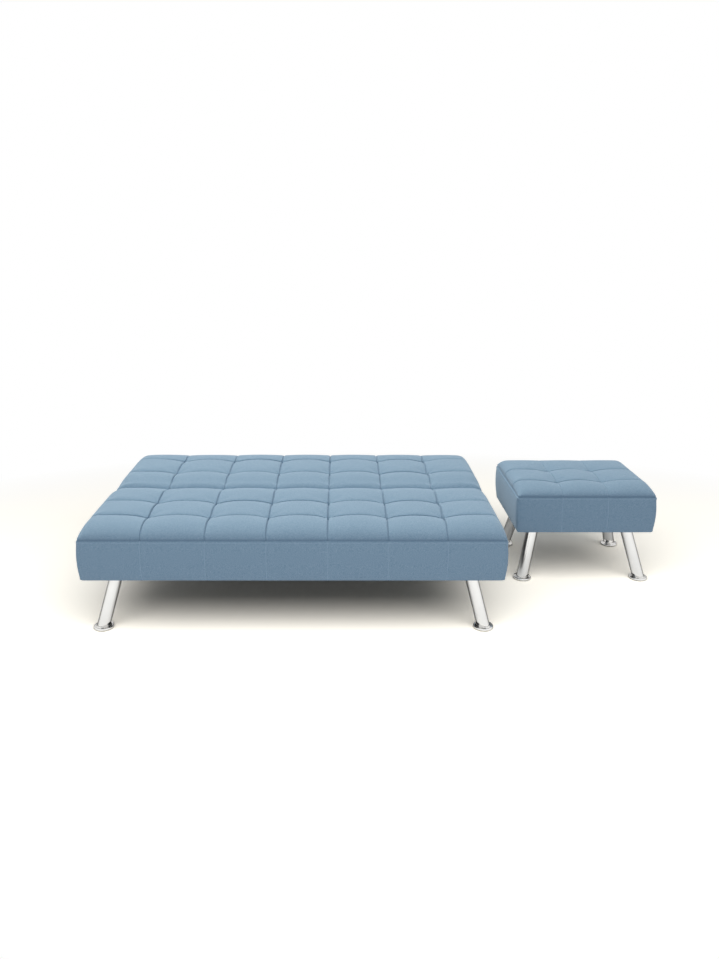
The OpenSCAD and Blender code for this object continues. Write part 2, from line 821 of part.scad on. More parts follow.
module hinge_washers() {
  color(zinc) on_sofa()
    both_sides()
      at_pivot() translate([washer_x, 0, 0]) rotate([0, 90, 0])
        difference() {
          cylinder(r = washer_r, h = washer_t);
          translate([0, 0, -cut_over])
            cylinder(r = pivot_r + run_fit, h = washer_t + 2 * cut_over, $fn = 48);
        }
}

// The arm runs from the pivot past the pawl's pin to the frame's long board
arm_bend = [110, frame_z + board_h / 2 + arm_half_w / 2 - fold_pivot_z];
arm_tip = arm_bend + [arm_len, 0];
arm_bolt_shares = [0.3, 0.65, 1];

module arm_bolt_places() {
  at_pivot()
    for (s = arm_bolt_shares)
      translate([0, arm_bend[0] + s * arm_len, arm_bend[1]]) children();
}

module hinge_arm() {
  color(black_steel)
    difference() {
      at_pivot() side_plate(arm_x, hinge_t) {
        for (boss = [[0, 0], pawl_pin, arm_bend])
          translate(boss) circle(r = hub_r);
        strip2d([0, 0], pawl_pin, arm_half_w);
        strip2d(pawl_pin, arm_bend, arm_half_w);
        strip2d(arm_bend, arm_tip, arm_half_w);
        translate(arm_tip) circle(r = arm_half_w);
      }
      at_pivot() rotate([0, 90, 0])
        cylinder(r = pivot_r + run_fit, h = 4 * sofa_half, center = true, $fn = 48);
      at_pivot() translate([0, pawl_pin[0], pawl_pin[1]]) rotate([0, 90, 0])
        cylinder(r = pawl_pin_r + run_fit, h = 4 * sofa_half, center = true, $fn = 48);
      arm_bolt_places() rotate([0, 90, 0])
        cylinder(r = arm_bolt_r + run_fit, h = 4 * sofa_half, center = true, $fn = 24);
    }
}

module hinge_arm_right() on_sofa() hinge_arm();
module hinge_arm_left() on_sofa() mirror([1, 0, 0]) hinge_arm();

module arm_bolts() {
  color(zinc) on_sofa()
    both_sides()
      arm_bolt_places() {
        translate([arm_x, 0, 0]) rotate([0, 90, 0])
          cylinder(r = arm_bolt_r, h = hinge_t + board_t + nut_h, $fn = 24);
        translate([arm_x - bolt_head_h, 0, 0]) rotate([0, 90, 0])
          cylinder(r = bolt_head_r, h = bolt_head_h, $fn = 6);
        translate([arm_end_x + board_t, 0, 0]) rotate([0, 90, 0])
          cylinder(r = bolt_head_r, h = bolt_head_h, $fn = 6);
      }
}

// The pawl is drawn lifted, clear of the notches
pawl_t = hinge_t - 2 * fit;
pawl_x = plate_x + fit;
clip_t = 1.5;
clip_r = 7;

module pawl() {
  color(zinc)
    difference() {
      at_pivot() side_plate(pawl_x, pawl_t) {
        translate(pawl_pin) circle(r = 2 * pawl_pin_r);
        bar2d(pawl_pin, elbow_out, pawl_half_w);
        bar2d(elbow_out, tooth_out, tooth_r);
      }
      at_pivot() translate([0, pawl_pin[0], pawl_pin[1]]) rotate([0, 90, 0])
        cylinder(r = pawl_pin_r + run_fit, h = 4 * sofa_half, center = true, $fn = 48);
    }
}

module pawl_right() on_sofa() pawl();
module pawl_left() on_sofa() mirror([1, 0, 0]) pawl();

// Pin riveted in the arm, a collar beside the pawl, a clip at its inner end
spring_turns = 3;
spring_pitch = 2.2;
spring_steps = 8;
spring_sides = 6;
spring_r = (pawl_pin_r + spring_wire_r + fit) / cos(180 / spring_steps);
spring_x = pawl_x - fit - spring_wire_r;
pin_start_x = spring_x - spring_turns * spring_pitch - 2 * spring_wire_r - clip_t;

module pawl_pins() {
  color(zinc) on_sofa()
    both_sides()
      at_pivot() translate([0, pawl_pin[0], pawl_pin[1]]) {
        translate([pin_start_x, 0, 0]) rotate([0, 90, 0])
          cylinder(r = pawl_pin_r, h = arm_end_x - pin_start_x, $fn = 48);
        translate([pin_start_x, 0, 0]) rotate([0, 90, 0]) cylinder(r = clip_r, h = clip_t);
        translate([arm_end_x, 0, 0]) rotate([0, 90, 0]) cylinder(r = clip_r, h = clip_t);
        translate([pawl_x + pawl_t + fit, 0, 0]) rotate([0, 90, 0])
          cylinder(r = clip_r, h = arm_x - pawl_x - pawl_t - fit);
      }
}

// Torsion spring: one unbroken wire wound round the pin
spring_path = [for (i = [0:spring_turns * spring_steps])
  let (a = 360 * i / spring_steps)
  [spring_x - spring_pitch * i / spring_steps, spring_r * cos(a), spring_r * sin(a)]];

module pawl_spring() {
  n = len(spring_path);
  points = [for (i = [0:n - 1], k = [0:spring_sides - 1])
    let (
      a = 360 * i / spring_steps,
      t = 360 * k / spring_sides,
      out = [0, cos(a), sin(a)]
    )
    spring_path[i] + spring_wire_r * (cos(t) * out + [sin(t), 0, 0])];
  walls = [for (i = [0:n - 2], k = [0:spring_sides - 1])
    let (
      a = i * spring_sides + k,
      b = i * spring_sides + (k + 1) % spring_sides
    )
    each [[a, a + spring_sides, b + spring_sides], [a, b + spring_sides, b]]];
  ends = [for (k = [1:spring_sides - 2])
    each [[0, k, k + 1], [(n - 1) * spring_sides, (n - 1) * spring_sides + k + 1,
      (n - 1) * spring_sides + k]]];
  polyhedron(points = points, faces = concat(walls, ends));
}

module pawl_springs() {
  color(zinc) on_sofa()
    both_sides()
      at_pivot() translate([0, pawl_pin[0], pawl_pin[1]]) pawl_spring();
}

// Back: each side has a pocket around the hinge, open to the fold and below
pocket_x = [pin_start_x - 2 * fit - clip_t, arm_end_x + pivot_head_h + pivot_head_r / 2];
pocket_depth = 100;
pocket_clear = 1.5;
ratchet_room_y = [15, ratchet_r + 5];
ratchet_room_z = 14;

module hinge_pocket() {
  at_pivot() {
    between([pocket_x[0], -fold_r - cut_over, -tuft_z], [pocket_x[1], pocket_depth, 0]);
    between([pocket_x[0], ratchet_room_y[0], -cut_over],
      [pocket_x[1], ratchet_room_y[1], ratchet_room_z]);
    translate([pocket_x[0], 0, 0]) rotate([0, 90, 0])
      cylinder(r = hub_r + pocket_clear, h = pocket_x[1] - pocket_x[0]);
  }
}

// Slot around the arm's slanted stretch, and the room beside the board that it is bolted to
module arm_slot() {
  at_pivot()
    side_plate(arm_x - fit, hinge_t + 2 * fit) {
      translate(arm_bend) circle(r = hub_r + fit);
      strip2d(pawl_pin, arm_bend, hub_r + fit);
    }
}

module arm_room() {
  at_pivot()
    side_plate(arm_x - fit, hinge_t + fit) {
      translate([0, -arm_half_w - fit]) translate(arm_bend)
        square([arm_len + arm_half_w + fit, 2 * arm_half_w + board_h]);
      translate(arm_bend) circle(r = hub_r + fit);
      strip2d(pawl_pin, arm_bend, hub_r + fit);
    }
}

module back_cover() {
  color(fabric_blue) on_sofa()
    difference() {
      section_cover(sofa_half, back_span, sofa_lines, back_rows, "fold", "edge");
      both_sides() hinge_pocket();
    }
}

module back_foam() {
  color(foam_cream) on_sofa()
    difference() {
      section_foam(sofa_half, back_span);
      both_sides() {
        hinge_pocket();
        arm_slot();
      }
    }
}

module back_frame() {
  y0 = back_span[0] + pad_t + fit;
  y1 = back_span[1] - pad_t - fit;
  second_y = pivot_y + pocket_depth + fit;
  inner_x = pocket_x[0] - fit;
  color(timber) on_sofa()
    difference() {
      union() {
        difference() {
          frame_ring(sofa_half, back_span);
          both_sides() hinge_pocket();
        }
        between([-sofa_half + pad_t + fit, second_y, frame_z],
          [sofa_half - pad_t - fit, second_y + board_t, strap_z]);
        between([-board_t / 2, y0 + board_t / 2, frame_z], [board_t / 2, y1 - board_t / 2, strap_z]);
        both_sides() {
          between([arm_end_x, y0, frame_z], [arm_end_x + board_t, y1 - board_t / 2, strap_z]);
          between([inner_x - board_t, y0, frame_z], [inner_x, second_y + board_t / 2, strap_z]);
        }
      }
      both_sides() {
        arm_room();
        arm_bolt_places() rotate([0, 90, 0])
          cylinder(r = arm_bolt_r + run_fit, h = 4 * board_t + 2 * arm_end_x, center = true,
            $fn = 24);
      }
    }
}

module back_webbing() {
  color(black_cloth) on_sofa()
    difference() {
      webbing(sofa_half, back_span, sofa_straps);
      both_sides() {
        hinge_pocket();
        arm_slot();
      }
    }
}

module back_dust_cover() {
  color(black_cloth) on_sofa()
    difference() {
      dust_sheet(sofa_half, back_span);
      both_sides() hinge_pocket();
    }
}

// Footstool
stool_foot = [stool_half - stool_foot_inset, stool_d / 2 - stool_foot_inset];
stool_plate_z = seat_plate_z + stool_lift;
stool_top = [for (c = stool_foot) c - top_shift(stool_plate_z)];
stool_board = leg_plate_w + 2 * leg_hole_inset;

module stool_corner(out) translate([out[0] * stool_foot[0], out[1] * stool_foot[1], 0]) children();
module stool_corners() for (sx = [-1, 1], sy = [-1, 1]) stool_corner([sx, sy]) children();

module stool_leg_holes() {
  for (sx = [-1, 1], sy = [-1, 1], p = leg_plate_holes(leg_plate_w / 2))
    translate([sx * stool_top[0] + p[0], sy * stool_top[1] + p[1], seat_plate_z]) children();
}

module stool_leg(out) on_stool() stool_corner(out) leg(stool_plate_z, out);
module stool_foot_at(out) on_stool() stool_corner(out) foot();
module stool_glides() on_stool() stool_corners() glide();

module stool_cover() {
  color(fabric_blue) on_stool(stool_lift)
    section_cover(stool_half, stool_span, stool_lines, stool_rows_y, "edge", "edge");
}

module stool_foam() color(foam_cream) on_stool(stool_lift) section_foam(stool_half, stool_span);

module stool_frame() {
  x = stool_half - pad_t - fit - board_t;
  y = stool_d / 2 - pad_t - fit - board_t;
  color(timber) on_stool(stool_lift)
    difference() {
      union() {
        frame_ring(stool_half, stool_span);
        for (sx = [-1, 1], sy = [-1, 1])
          scale([sx, sy, 1])
            between([x - stool_board, y - stool_board, frame_z], [x, y, frame_z + corner_board_t]);
      }
      stool_leg_holes() leg_screw_hole();
    }
}

module stool_webbing() color(black_cloth) on_stool(stool_lift) webbing(stool_half, stool_span, stool_straps);

module stool_dust_cover() {
  color(black_cloth) on_stool(stool_lift)
    difference() {
      dust_sheet(stool_half, stool_span);
      stool_leg_holes() leg_screw_hole();
    }
}

module stool_screws() color(zinc) on_stool(stool_lift) stool_leg_holes() leg_screw();

seat_cover();
seat_foam();
seat_frame();
seat_webbing();
seat_dust_cover();
back_cover();
back_foam();
back_frame();
back_webbing();
back_dust_cover();
base_rail_left();
base_rail_right();
base_cross_front();
base_cross_rear();
base_end_caps();
seat_spacers();
back_stop_pads();
base_bolts();
leg_screws();
ratchet_plate_left();
ratchet_plate_right();
pivot_bolt_left();
pivot_bolt_right();
hinge_arm_left();
hinge_arm_right();
hinge_washers();
arm_bolts();
pawl_left();
pawl_right();
pawl_pins();
pawl_springs();
front_leg(-1);  // leg_front_left
front_leg(1);  // leg_front_right
rear_leg(-1);  // leg_rear_left
rear_leg(1);  // leg_rear_right
front_foot(-1);  // foot_front_left
front_foot(1);  // foot_front_right
rear_foot(-1);  // foot_rear_left
rear_foot(1);  // foot_rear_right
sofa_glides();
stool_cover();
stool_foam();
stool_frame();
stool_webbing();
stool_dust_cover();
stool_leg([-1, -1]);  // stool_leg_front_left
stool_leg([1, -1]);  // stool_leg_front_right
stool_leg([-1, 1]);  // stool_leg_rear_left
stool_leg([1, 1]);  // stool_leg_rear_right
stool_foot_at([-1, -1]);  // stool_foot_front_left
stool_foot_at([1, -1]);  // stool_foot_front_right
stool_foot_at([-1, 1]);  // stool_foot_rear_left
stool_foot_at([1, 1]);  // stool_foot_rear_right
stool_glides();
stool_screws();
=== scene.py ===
import json
import math

import bpy
import numpy as np
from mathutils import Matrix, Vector

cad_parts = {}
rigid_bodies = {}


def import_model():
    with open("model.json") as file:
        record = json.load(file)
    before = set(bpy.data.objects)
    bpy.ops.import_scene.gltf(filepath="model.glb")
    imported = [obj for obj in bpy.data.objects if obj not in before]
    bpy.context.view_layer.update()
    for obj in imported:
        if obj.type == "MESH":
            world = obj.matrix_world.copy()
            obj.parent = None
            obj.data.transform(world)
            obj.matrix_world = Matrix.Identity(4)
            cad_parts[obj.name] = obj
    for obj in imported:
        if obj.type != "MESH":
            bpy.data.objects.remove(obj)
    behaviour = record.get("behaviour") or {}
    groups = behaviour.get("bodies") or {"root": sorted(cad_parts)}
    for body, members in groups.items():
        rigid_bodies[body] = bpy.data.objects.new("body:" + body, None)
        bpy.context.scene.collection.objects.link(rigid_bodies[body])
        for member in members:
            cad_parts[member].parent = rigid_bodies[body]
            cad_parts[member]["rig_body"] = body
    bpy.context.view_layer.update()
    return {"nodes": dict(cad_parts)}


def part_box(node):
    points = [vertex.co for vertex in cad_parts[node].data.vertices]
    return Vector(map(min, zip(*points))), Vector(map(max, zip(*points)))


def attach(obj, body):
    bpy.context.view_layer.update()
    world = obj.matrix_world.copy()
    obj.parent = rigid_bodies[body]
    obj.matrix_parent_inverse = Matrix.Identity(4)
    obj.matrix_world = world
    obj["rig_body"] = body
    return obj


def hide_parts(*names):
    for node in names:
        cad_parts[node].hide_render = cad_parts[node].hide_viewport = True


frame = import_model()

# Camera: at eye height, three metres in front of the bed, turned ten degrees down.
# Its frame is shifted a little right and further down, as the photograph is a crop of a wider view.
camera_data = bpy.data.cameras.new("camera")
camera_data.sensor_width = 36.0
camera_data.lens = 30.03
camera_data.shift_x = 0.0220
camera_data.shift_y = -0.1143
camera = bpy.data.objects.new("camera", camera_data)
camera.location = (-0.1976, -3.4966, 1.5733)
camera.rotation_euler = (math.radians(80), 0, 0)
bpy.context.scene.collection.objects.link(camera)
bpy.context.scene.camera = camera
bpy.context.scene.view_settings.view_transform = "Standard"


# Studio floor: a wide white sheet of seamless paper. Round the bed it takes the soft shadow, and
# further off it runs into the plain white of the backdrop. It is paler to the eye than in the light
# that it throws back, so that it reads as white and still leaves the underside dark.
def new_material(name):
    """An empty node material, its node tree and its output."""
    material = bpy.data.materials.new(name)
    material.use_nodes = True
    tree = material.node_tree
    tree.nodes.clear()
    return material, tree, tree.nodes.new("ShaderNodeOutputMaterial")


def wire(tree, kind, inputs=(), **settings):
    """One new node: settings are its properties, inputs are values or sockets for its inputs."""
    node = tree.nodes.new(kind)
    for key, value in settings.items():
        setattr(node, key, value)
    for key, value in dict(inputs).items():
        if isinstance(value, bpy.types.NodeSocket):
            tree.links.new(value, node.inputs[key])
        else:
            node.inputs[key].default_value = value
    return node


def maths(tree, operation, *values):
    """The result of one Math node on these values or sockets."""
    return wire(tree, "ShaderNodeMath", enumerate(values), operation=operation).outputs[0]


def background_rays(tree):
    """1 for what the camera sees straight or mirrored in chrome, 0 for the light that falls."""
    path = wire(tree, "ShaderNodeLightPath")
    return maths(tree, "MAXIMUM", path.outputs["Is Camera Ray"], path.outputs["Is Glossy Ray"])


def deselect():
    """Leaves edit mode with nothing selected, because an operator acts on all that is."""
    if bpy.context.object and bpy.context.object.mode != "OBJECT":
        bpy.ops.object.mode_set(mode="OBJECT")
    bpy.ops.object.select_all(action="DESELECT")


floor_reach = 30.0
floor_gap = 0.0005
shadow_reach = (1.6, 2.6)
shadow_oval = (0.8, 1.25, 0)
deselect()
bpy.ops.mesh.primitive_plane_add(size=2 * floor_reach, location=(0, 0, -floor_gap))
floor = bpy.context.object
floor.name = "studio_floor"
floor_material, tree, out = new_material("studio paper")
seen = wire(tree, "ShaderNodeBsdfDiffuse", {"Color": (1.40, 1.30, 1.10, 1)})
mirrored = wire(tree, "ShaderNodeBsdfDiffuse", {"Color": (1.00, 0.97, 0.89, 1)})
lit = wire(tree, "ShaderNodeBsdfDiffuse", {"Color": (0.52, 0.52, 0.51, 1)})
white = wire(tree, "ShaderNodeEmission", {"Color": (1, 1, 1, 1), "Strength": 1.0})
place = wire(tree, "ShaderNodeTexCoord")
squeeze = wire(tree, "ShaderNodeVectorMath", {0: place.outputs["Object"], 1: shadow_oval},
               operation="MULTIPLY")
away = wire(tree, "ShaderNodeVectorMath", {0: squeeze.outputs[0]}, operation="LENGTH")
far = wire(tree, "ShaderNodeMapRange", {
    "Value": away.outputs["Value"], "From Min": shadow_reach[0], "From Max": shadow_reach[1]})
path = wire(tree, "ShaderNodeLightPath")
shown = wire(tree, "ShaderNodeMixShader", {
    0: path.outputs["Is Camera Ray"], 1: mirrored.outputs[0], 2: seen.outputs[0]})
near = wire(tree, "ShaderNodeMixShader", {
    0: far.outputs[0], 1: shown.outputs[0], 2: white.outputs[0]})
both = wire(tree, "ShaderNodeMixShader", {
    0: background_rays(tree), 1: lit.outputs[0], 2: near.outputs[0]})
tree.links.new(both.outputs[0], out.inputs["Surface"])
floor.data.materials.append(floor_material)

# Studio light: a white room that fills every shadow. One soft box hangs behind the bed and one
# in front, both kept off the paper, which has a soft box of its own for the shadow under the bed.
world = bpy.data.worlds.new("white room")
bpy.context.scene.world = world
world.use_nodes = True
tree = world.node_tree
tree.nodes.clear()
out = tree.nodes.new("ShaderNodeOutputWorld")
fill = wire(tree, "ShaderNodeBackground", {"Color": (0.90, 0.97, 1.09, 1), "Strength": 0.35})
backdrop = wire(tree, "ShaderNodeBackground", {"Color": (1, 1, 1, 1), "Strength": 1.0})
both = wire(tree, "ShaderNodeMixShader", {
    0: background_rays(tree), 1: fill.outputs[0], 2: backdrop.outputs[0]})
tree.links.new(both.outputs[0], out.inputs["Surface"])

paper_only = bpy.data.collections.new("paper_only")
all_but_paper = bpy.data.collections.new("all_but_paper")
for group, state in ((paper_only, "INCLUDE"), (all_but_paper, "EXCLUDE")):
    group.objects.link(floor)
    group.collection_objects[0].light_linking.link_state = state


def soft_box(name, place, target, size, power, colour, lights):
    """An area lamp at place, turned to target, that shines only on the collection in lights."""
    lamp = bpy.data.lights.new(name, "AREA")
    lamp.shape = "RECTANGLE"
    lamp.size, lamp.size_y = size
    lamp.energy = power
    lamp.color = colour
    holder = bpy.data.objects.new(name, lamp)
    holder.location = place
    holder.visible_camera = holder.visible_glossy = False
    holder.rotation_euler = (Vector(target) - Vector(place)).to_track_quat("-Z", "Y").to_euler()
    holder.light_linking.receiver_collection = lights
    bpy.context.scene.collection.objects.link(holder)


soft_box("soft_box_behind", place=(-2.0, 3.2, 6.0), target=(-0.1, -3.0, 0), size=(5.5, 3.0),
         power=370, colour=(1.0, 0.96, 0.87), lights=all_but_paper)
soft_box("soft_box_front", place=(-0.3, -2.9, 2.6), target=(-0.3, -0.4, 0.2), size=(4.4, 2.0),
         power=44, colour=(1.0, 0.98, 0.94), lights=all_but_paper)
soft_box("soft_box_paper", place=(0.1, -2.2, 3.3), target=(0.1, -0.4, 0), size=(9.0, 3.6),
         power=222, colour=(0.95, 0.97, 1.03), lights=paper_only)


# Upholstery fabric: a tightly woven steel blue polyester, flecked by paler and darker threads. Its
# weave follows each cover's flat pattern, which the UV map holds in metres. The border seams show
# paler thread. Along the welt's second seam the paler line is a painted highlight, and the bottom
# of each seam and of the welt seam is darkened with painted shade.
# Paler thread on the border seams; along the welt's second seam the paler line is a painted
# highlight.
pale_thread_and_highlight_tone = (0.42, 0.56, 0.70, 1)
pale_thread_and_highlight_strength = 0.35
# Painted shade: the dark bottom of each seam and of the welt seam, and how strongly it is mixed in.
painted_shade_tone = (0.08, 0.14, 0.22, 1)
painted_shade_strength = 0.6
sheen_tone = (0.72, 0.87, 1.0, 1)
weave_turns = (2600, 2600, 0)
fleck_tones = ((0.36, (0.175, 0.286, 0.402)), (0.50, (0.249, 0.372, 0.488)),
               (0.66, (0.334, 0.461, 0.571)))


def toned(tree, share, stops):
    """A colour that runs through these stops, (spot, tone) each, as the share rises."""
    ramp = wire(tree, "ShaderNodeValToRGB", {"Fac": share})
    elements = ramp.color_ramp.elements
    while len(elements) < len(stops):
        elements.new(0.5)
    for element, (spot, tone) in zip(elements, stops):
        element.position, element.color = spot, (*tone, 1)
    return ramp.outputs["Color"]


def surface(tree, out, inputs):
    """The surface itself, with these inputs, wired to the material's output."""
    shader = wire(tree, "ShaderNodeBsdfPrincipled", inputs)
    tree.links.new(shader.outputs[0], out.inputs["Surface"])


def fabric_material():
    material, tree, out = new_material("steel blue weave")
    flat = wire(tree, "ShaderNodeUVMap", uv_map="flat")
    cloth = wire(tree, "ShaderNodeTexCoord")
    fleck = wire(tree, "ShaderNodeTexNoise", {
        "Vector": cloth.outputs["Object"], "Scale": 420.0, "Detail": 2.0, "Roughness": 0.7})
    tone = toned(tree, fleck.outputs["Fac"], fleck_tones)
    # Over the flecks: paler thread, with a painted highlight by the welt, then painted shade in the
    # seams.
    for mark, strength, marked_tone in (("thread", pale_thread_and_highlight_strength, pale_thread_and_highlight_tone),
                                        ("painted_seam_shade", painted_shade_strength, painted_shade_tone)):
        marked = wire(tree, "ShaderNodeAttribute", attribute_name=mark)
        share = maths(tree, "MULTIPLY", marked.outputs["Fac"], strength)
        tone = wire(tree, "ShaderNodeMix", {0: share, "A": tone, "B": marked_tone},
                    data_type="RGBA").outputs["Result"]
    weaving = wire(tree, "ShaderNodeVectorMath", {0: flat.outputs["UV"], 1: weave_turns},
                   operation="MULTIPLY")
    split = wire(tree, "ShaderNodeSeparateXYZ", {0: weaving.outputs[0]})
    warp = maths(tree, "SINE", split.outputs["X"])
    weft = maths(tree, "SINE", split.outputs["Y"])
    weave = maths(tree, "MULTIPLY", warp, weft)
    height = maths(tree, "MULTIPLY_ADD", fleck.outputs["Fac"], 2.0, weave)
    bump = wire(tree, "ShaderNodeBump", {"Height": height, "Strength": 0.35, "Distance": 0.0004})
    surface(tree, out, {
        "Base Color": tone, "Roughness": 0.85, "Sheen Weight": 0.5, "Sheen Tint": sheen_tone,
        "Sheen Roughness": 0.5, "Specular IOR Level": 0.25, "Normal": bump.outputs[0]})
    return material


fabric = fabric_material()

# Seat cover: blue fabric over wadding, sewn down to the foam in seven by three pillows and joined
# to a border panel at the welt seam. It is cut flat, sewn, pulled over the frame and stapled below.
border_height = 0.166
edge_row_depth = 0.159
border_depths = (0, 0.0015, 0.003, 0.005, 0.0068, 0.008, 0.0092, 0.011, 0.015, 0.022, 0.034,
                 0.050, 0.070, 0.090, 0.110, 0.130, 0.145, 0.156, 0.1615, 0.163, 0.1645, 0.1655,
                 border_height)
column_steps, row_steps = 22, 18
fold_step = 15
touching = 1e-5
same_point = 1e-6

# The form that the wadding gives: pillows, rounded outer edges, and the two halves of the fold.
tuft_rise = 0.0235
tuft_reach = 0.120
puff_rise = 0.0205
shoulder_rise = 0.008
row_shoulder, column_shoulder = 0.017, 0.008
crown_rise = 0.0035
side_roll, front_roll, rear_roll = 0.045, 0.106, 0.190
corner_radius = 0.010
fold_corner_radius = 0.014
fold_radius = 0.028
calm_least = 0.50
calm_width = 0.090
drawn_in, drawn_in_curve = 0.005, 1.8
border_bulge = 0.004
hem_round = 0.0045

# The stuffing, which presses the fabric out between its seams and is not quite even.
stuffing_pressure = 4.0
pillow_swell = 0.005
border_swell = 0.002
stuffing_spread = 0.12
stuffing_table = (20, 20)
cloth_frames = 20

# The sewing: seams with small gathers beside them, tufts, and the welt with its second line.
seam_width = 0.0019
seam_depth = 0.0065
row_seam_left, front_seam_left, rear_seam_left = 0.35, 0.85, 0.30
pucker_depth = 0.0007
pucker_pitch = 0.017
pucker_reach = 0.013
pucker_drift = (2.2, 0.071)
tuft_width = 0.0085
tuft_depth = 0.0035
border_seam = (0.0020, 0.0012)
welt_lines = ((0, 0.0022, 0.0046), (0.008, 0.0012, 0.0008))
welt_stand, welt_slope, welt_end = 0.0010, 0.002, 0.009
# Width of the paler thread on the border seams, and of the painted highlight by the welt.
border_thread_width, welt_highlight_width = 0.0016, 0.0013
# Painted shade along the welt seam and in the seams of the top: how wide, and how dark.
welt_shade_width, seam_shade_width = 0.0014, 0.0018
welt_shade_share, seam_shade_share = 0.8, 0.5

# The underside: the hem turned in under the frame, and the room inside for foam and frame.
wadding = 0.026
turned_width = 0.024
lining = 0.002
room_height = 0.171


def crowded(a, b, count, crowding=0.84):
    """Stations from a up to but not b, closer together near both, where the seams are."""
    t = np.arange(count) / count
    return a + (b - a) * (t - crowding * np.sin(2 * np.pi * t) / (2 * np.pi))


def stations(lines, steps, fold_at=None):
    """Every grid line across a cover, with finer ones round a rolled fold edge."""
    marks, found = list(lines), []
    rolls = fold_radius * (1 - np.cos(np.radians(np.arange(0, 90, fold_step))))
    if fold_at == "front":
        found.append(lines[0] + rolls)
        marks[0] += fold_radius
    if fold_at == "rear":
        found.append(lines[-1] - rolls)
        marks[-1] -= fold_radius
    found += [crowded(a, b, steps) for a, b in zip(marks[:-1], marks[1:])]
    return np.sort(np.concatenate(found + [marks[-1:]]))


def rolled(share):
    """Quarter round: 0 at a share of 0, 1 from a share of 1 on."""
    share = np.clip(share, 0, 1)
    return np.sqrt(share * (2 - share))


def eased(share):
    """From 0 at a share of 0 to 1 at a share of 1, level at both."""
    share = np.clip(share, 0, 1)
    return share * share * (3 - 2 * share)


def bell(distance, width):
    """1 at no distance, fading out over about twice the width."""
    return np.exp(-(distance / width) ** 2)


def dome(values, lines):
    """0 on each line, 1 half way between two."""
    lines = np.asarray(lines)
    k = np.clip(np.searchsorted(lines, values, side="right") - 1, 0, len(lines) - 2)
    return np.abs(np.sin(np.pi * (values - lines[k]) / (lines[k + 1] - lines[k]))), k


def from_seam(values, lines):
    """Distance to the nearest sewn line; the outer edges aren't sewn down."""
    return np.min([np.abs(values - line) for line in lines[1:-1]], axis=0)


def read_points(piece):
    """A piece's points, one row each."""
    points = np.empty(len(piece.data.vertices) * 3)
    piece.data.vertices.foreach_get("co", points)
    return points.reshape(-1, 3)


def write_points(piece, points):
    """Moves a piece's points to these rows."""
    piece.data.vertices.foreach_set("co", np.ascontiguousarray(points, np.float32).ravel())
    piece.data.update()


def pick(piece):
    """Makes this the one selected and active object."""
    deselect()
    piece.select_set(True)
    bpy.context.view_layer.objects.active = piece


def rim_gap(points, low, high):
    """How far inside the outline each point lies, seen from above."""
    x, y = points[:, 0], points[:, 1]
    return np.min([x - low.x, high.x - x, y - low.y, high.y - y], axis=0)


def cut_places(skin):
    """Where each point lay on the flat pattern: across, along, and down from the welt seam."""
    flat = np.empty(len(skin.data.vertices) * 3, np.float32)
    skin.data.attributes["cut"].data.foreach_get("vector", flat)
    return flat.reshape(-1, 3)


def tufted_skin(name, columns, rows, x_steps, y_steps, fold_at=None):
    """The sewn fabric of one cover, flat, with its border panel down and open below."""
    xs = stations(columns, x_steps)
    ys = stations(rows, y_steps, fold_at)
    deselect()
    bpy.ops.mesh.primitive_grid_add(x_subdivisions=len(xs) - 1, y_subdivisions=len(ys) - 1, size=2)
    skin = bpy.context.object
    skin.name = skin.data.name = name
    points = read_points(skin)
    column = np.rint((points[:, 0] + 1) / 2 * (len(xs) - 1)).astype(int)
    row = np.rint((points[:, 1] + 1) / 2 * (len(ys) - 1)).astype(int)
    write_points(skin, np.column_stack([xs[column], ys[row], np.zeros(len(points))]))
    bpy.ops.object.mode_set(mode="EDIT")
    bpy.ops.mesh.select_mode(type="EDGE")
    bpy.ops.mesh.select_all(action="SELECT")
    bpy.ops.mesh.region_to_loop()
    for depth in np.diff(border_depths):
        bpy.ops.mesh.extrude_edges_move(TRANSFORM_OT_translate={"value": (0, 0, -depth)})
    bpy.ops.object.mode_set(mode="OBJECT")
    keep = skin.data.attributes.new("cut", "FLOAT_VECTOR", "POINT")
    keep.data.foreach_set("vector", read_points(skin).astype(np.float32).ravel())
    return skin


def lay_out(skin, middle):
    """The flat pattern as a UV map in metres: the top from above, each panel from its side."""
    mesh = skin.data
    flat = read_points(skin) - middle
    corners = np.empty(len(mesh.loops), int)
    mesh.loops.foreach_get("vertex_index", corners)
    quads = flat[corners].reshape(-1, 4, 3)
    spread = np.ptp(quads, axis=1)
    on_top = spread[:, 2] < touching
    on_front = ~on_top & (spread[:, 1] < touching)
    u = np.where(on_top[:, None] | on_front[:, None], quads[:, :, 0], quads[:, :, 1])
    v = np.where(on_top[:, None], quads[:, :, 1], quads[:, :, 2])
    layer = mesh.uv_layers.new(name="flat")
    layer.data.foreach_set("uv", np.stack([u, v], axis=2).astype(np.float32).ravel())


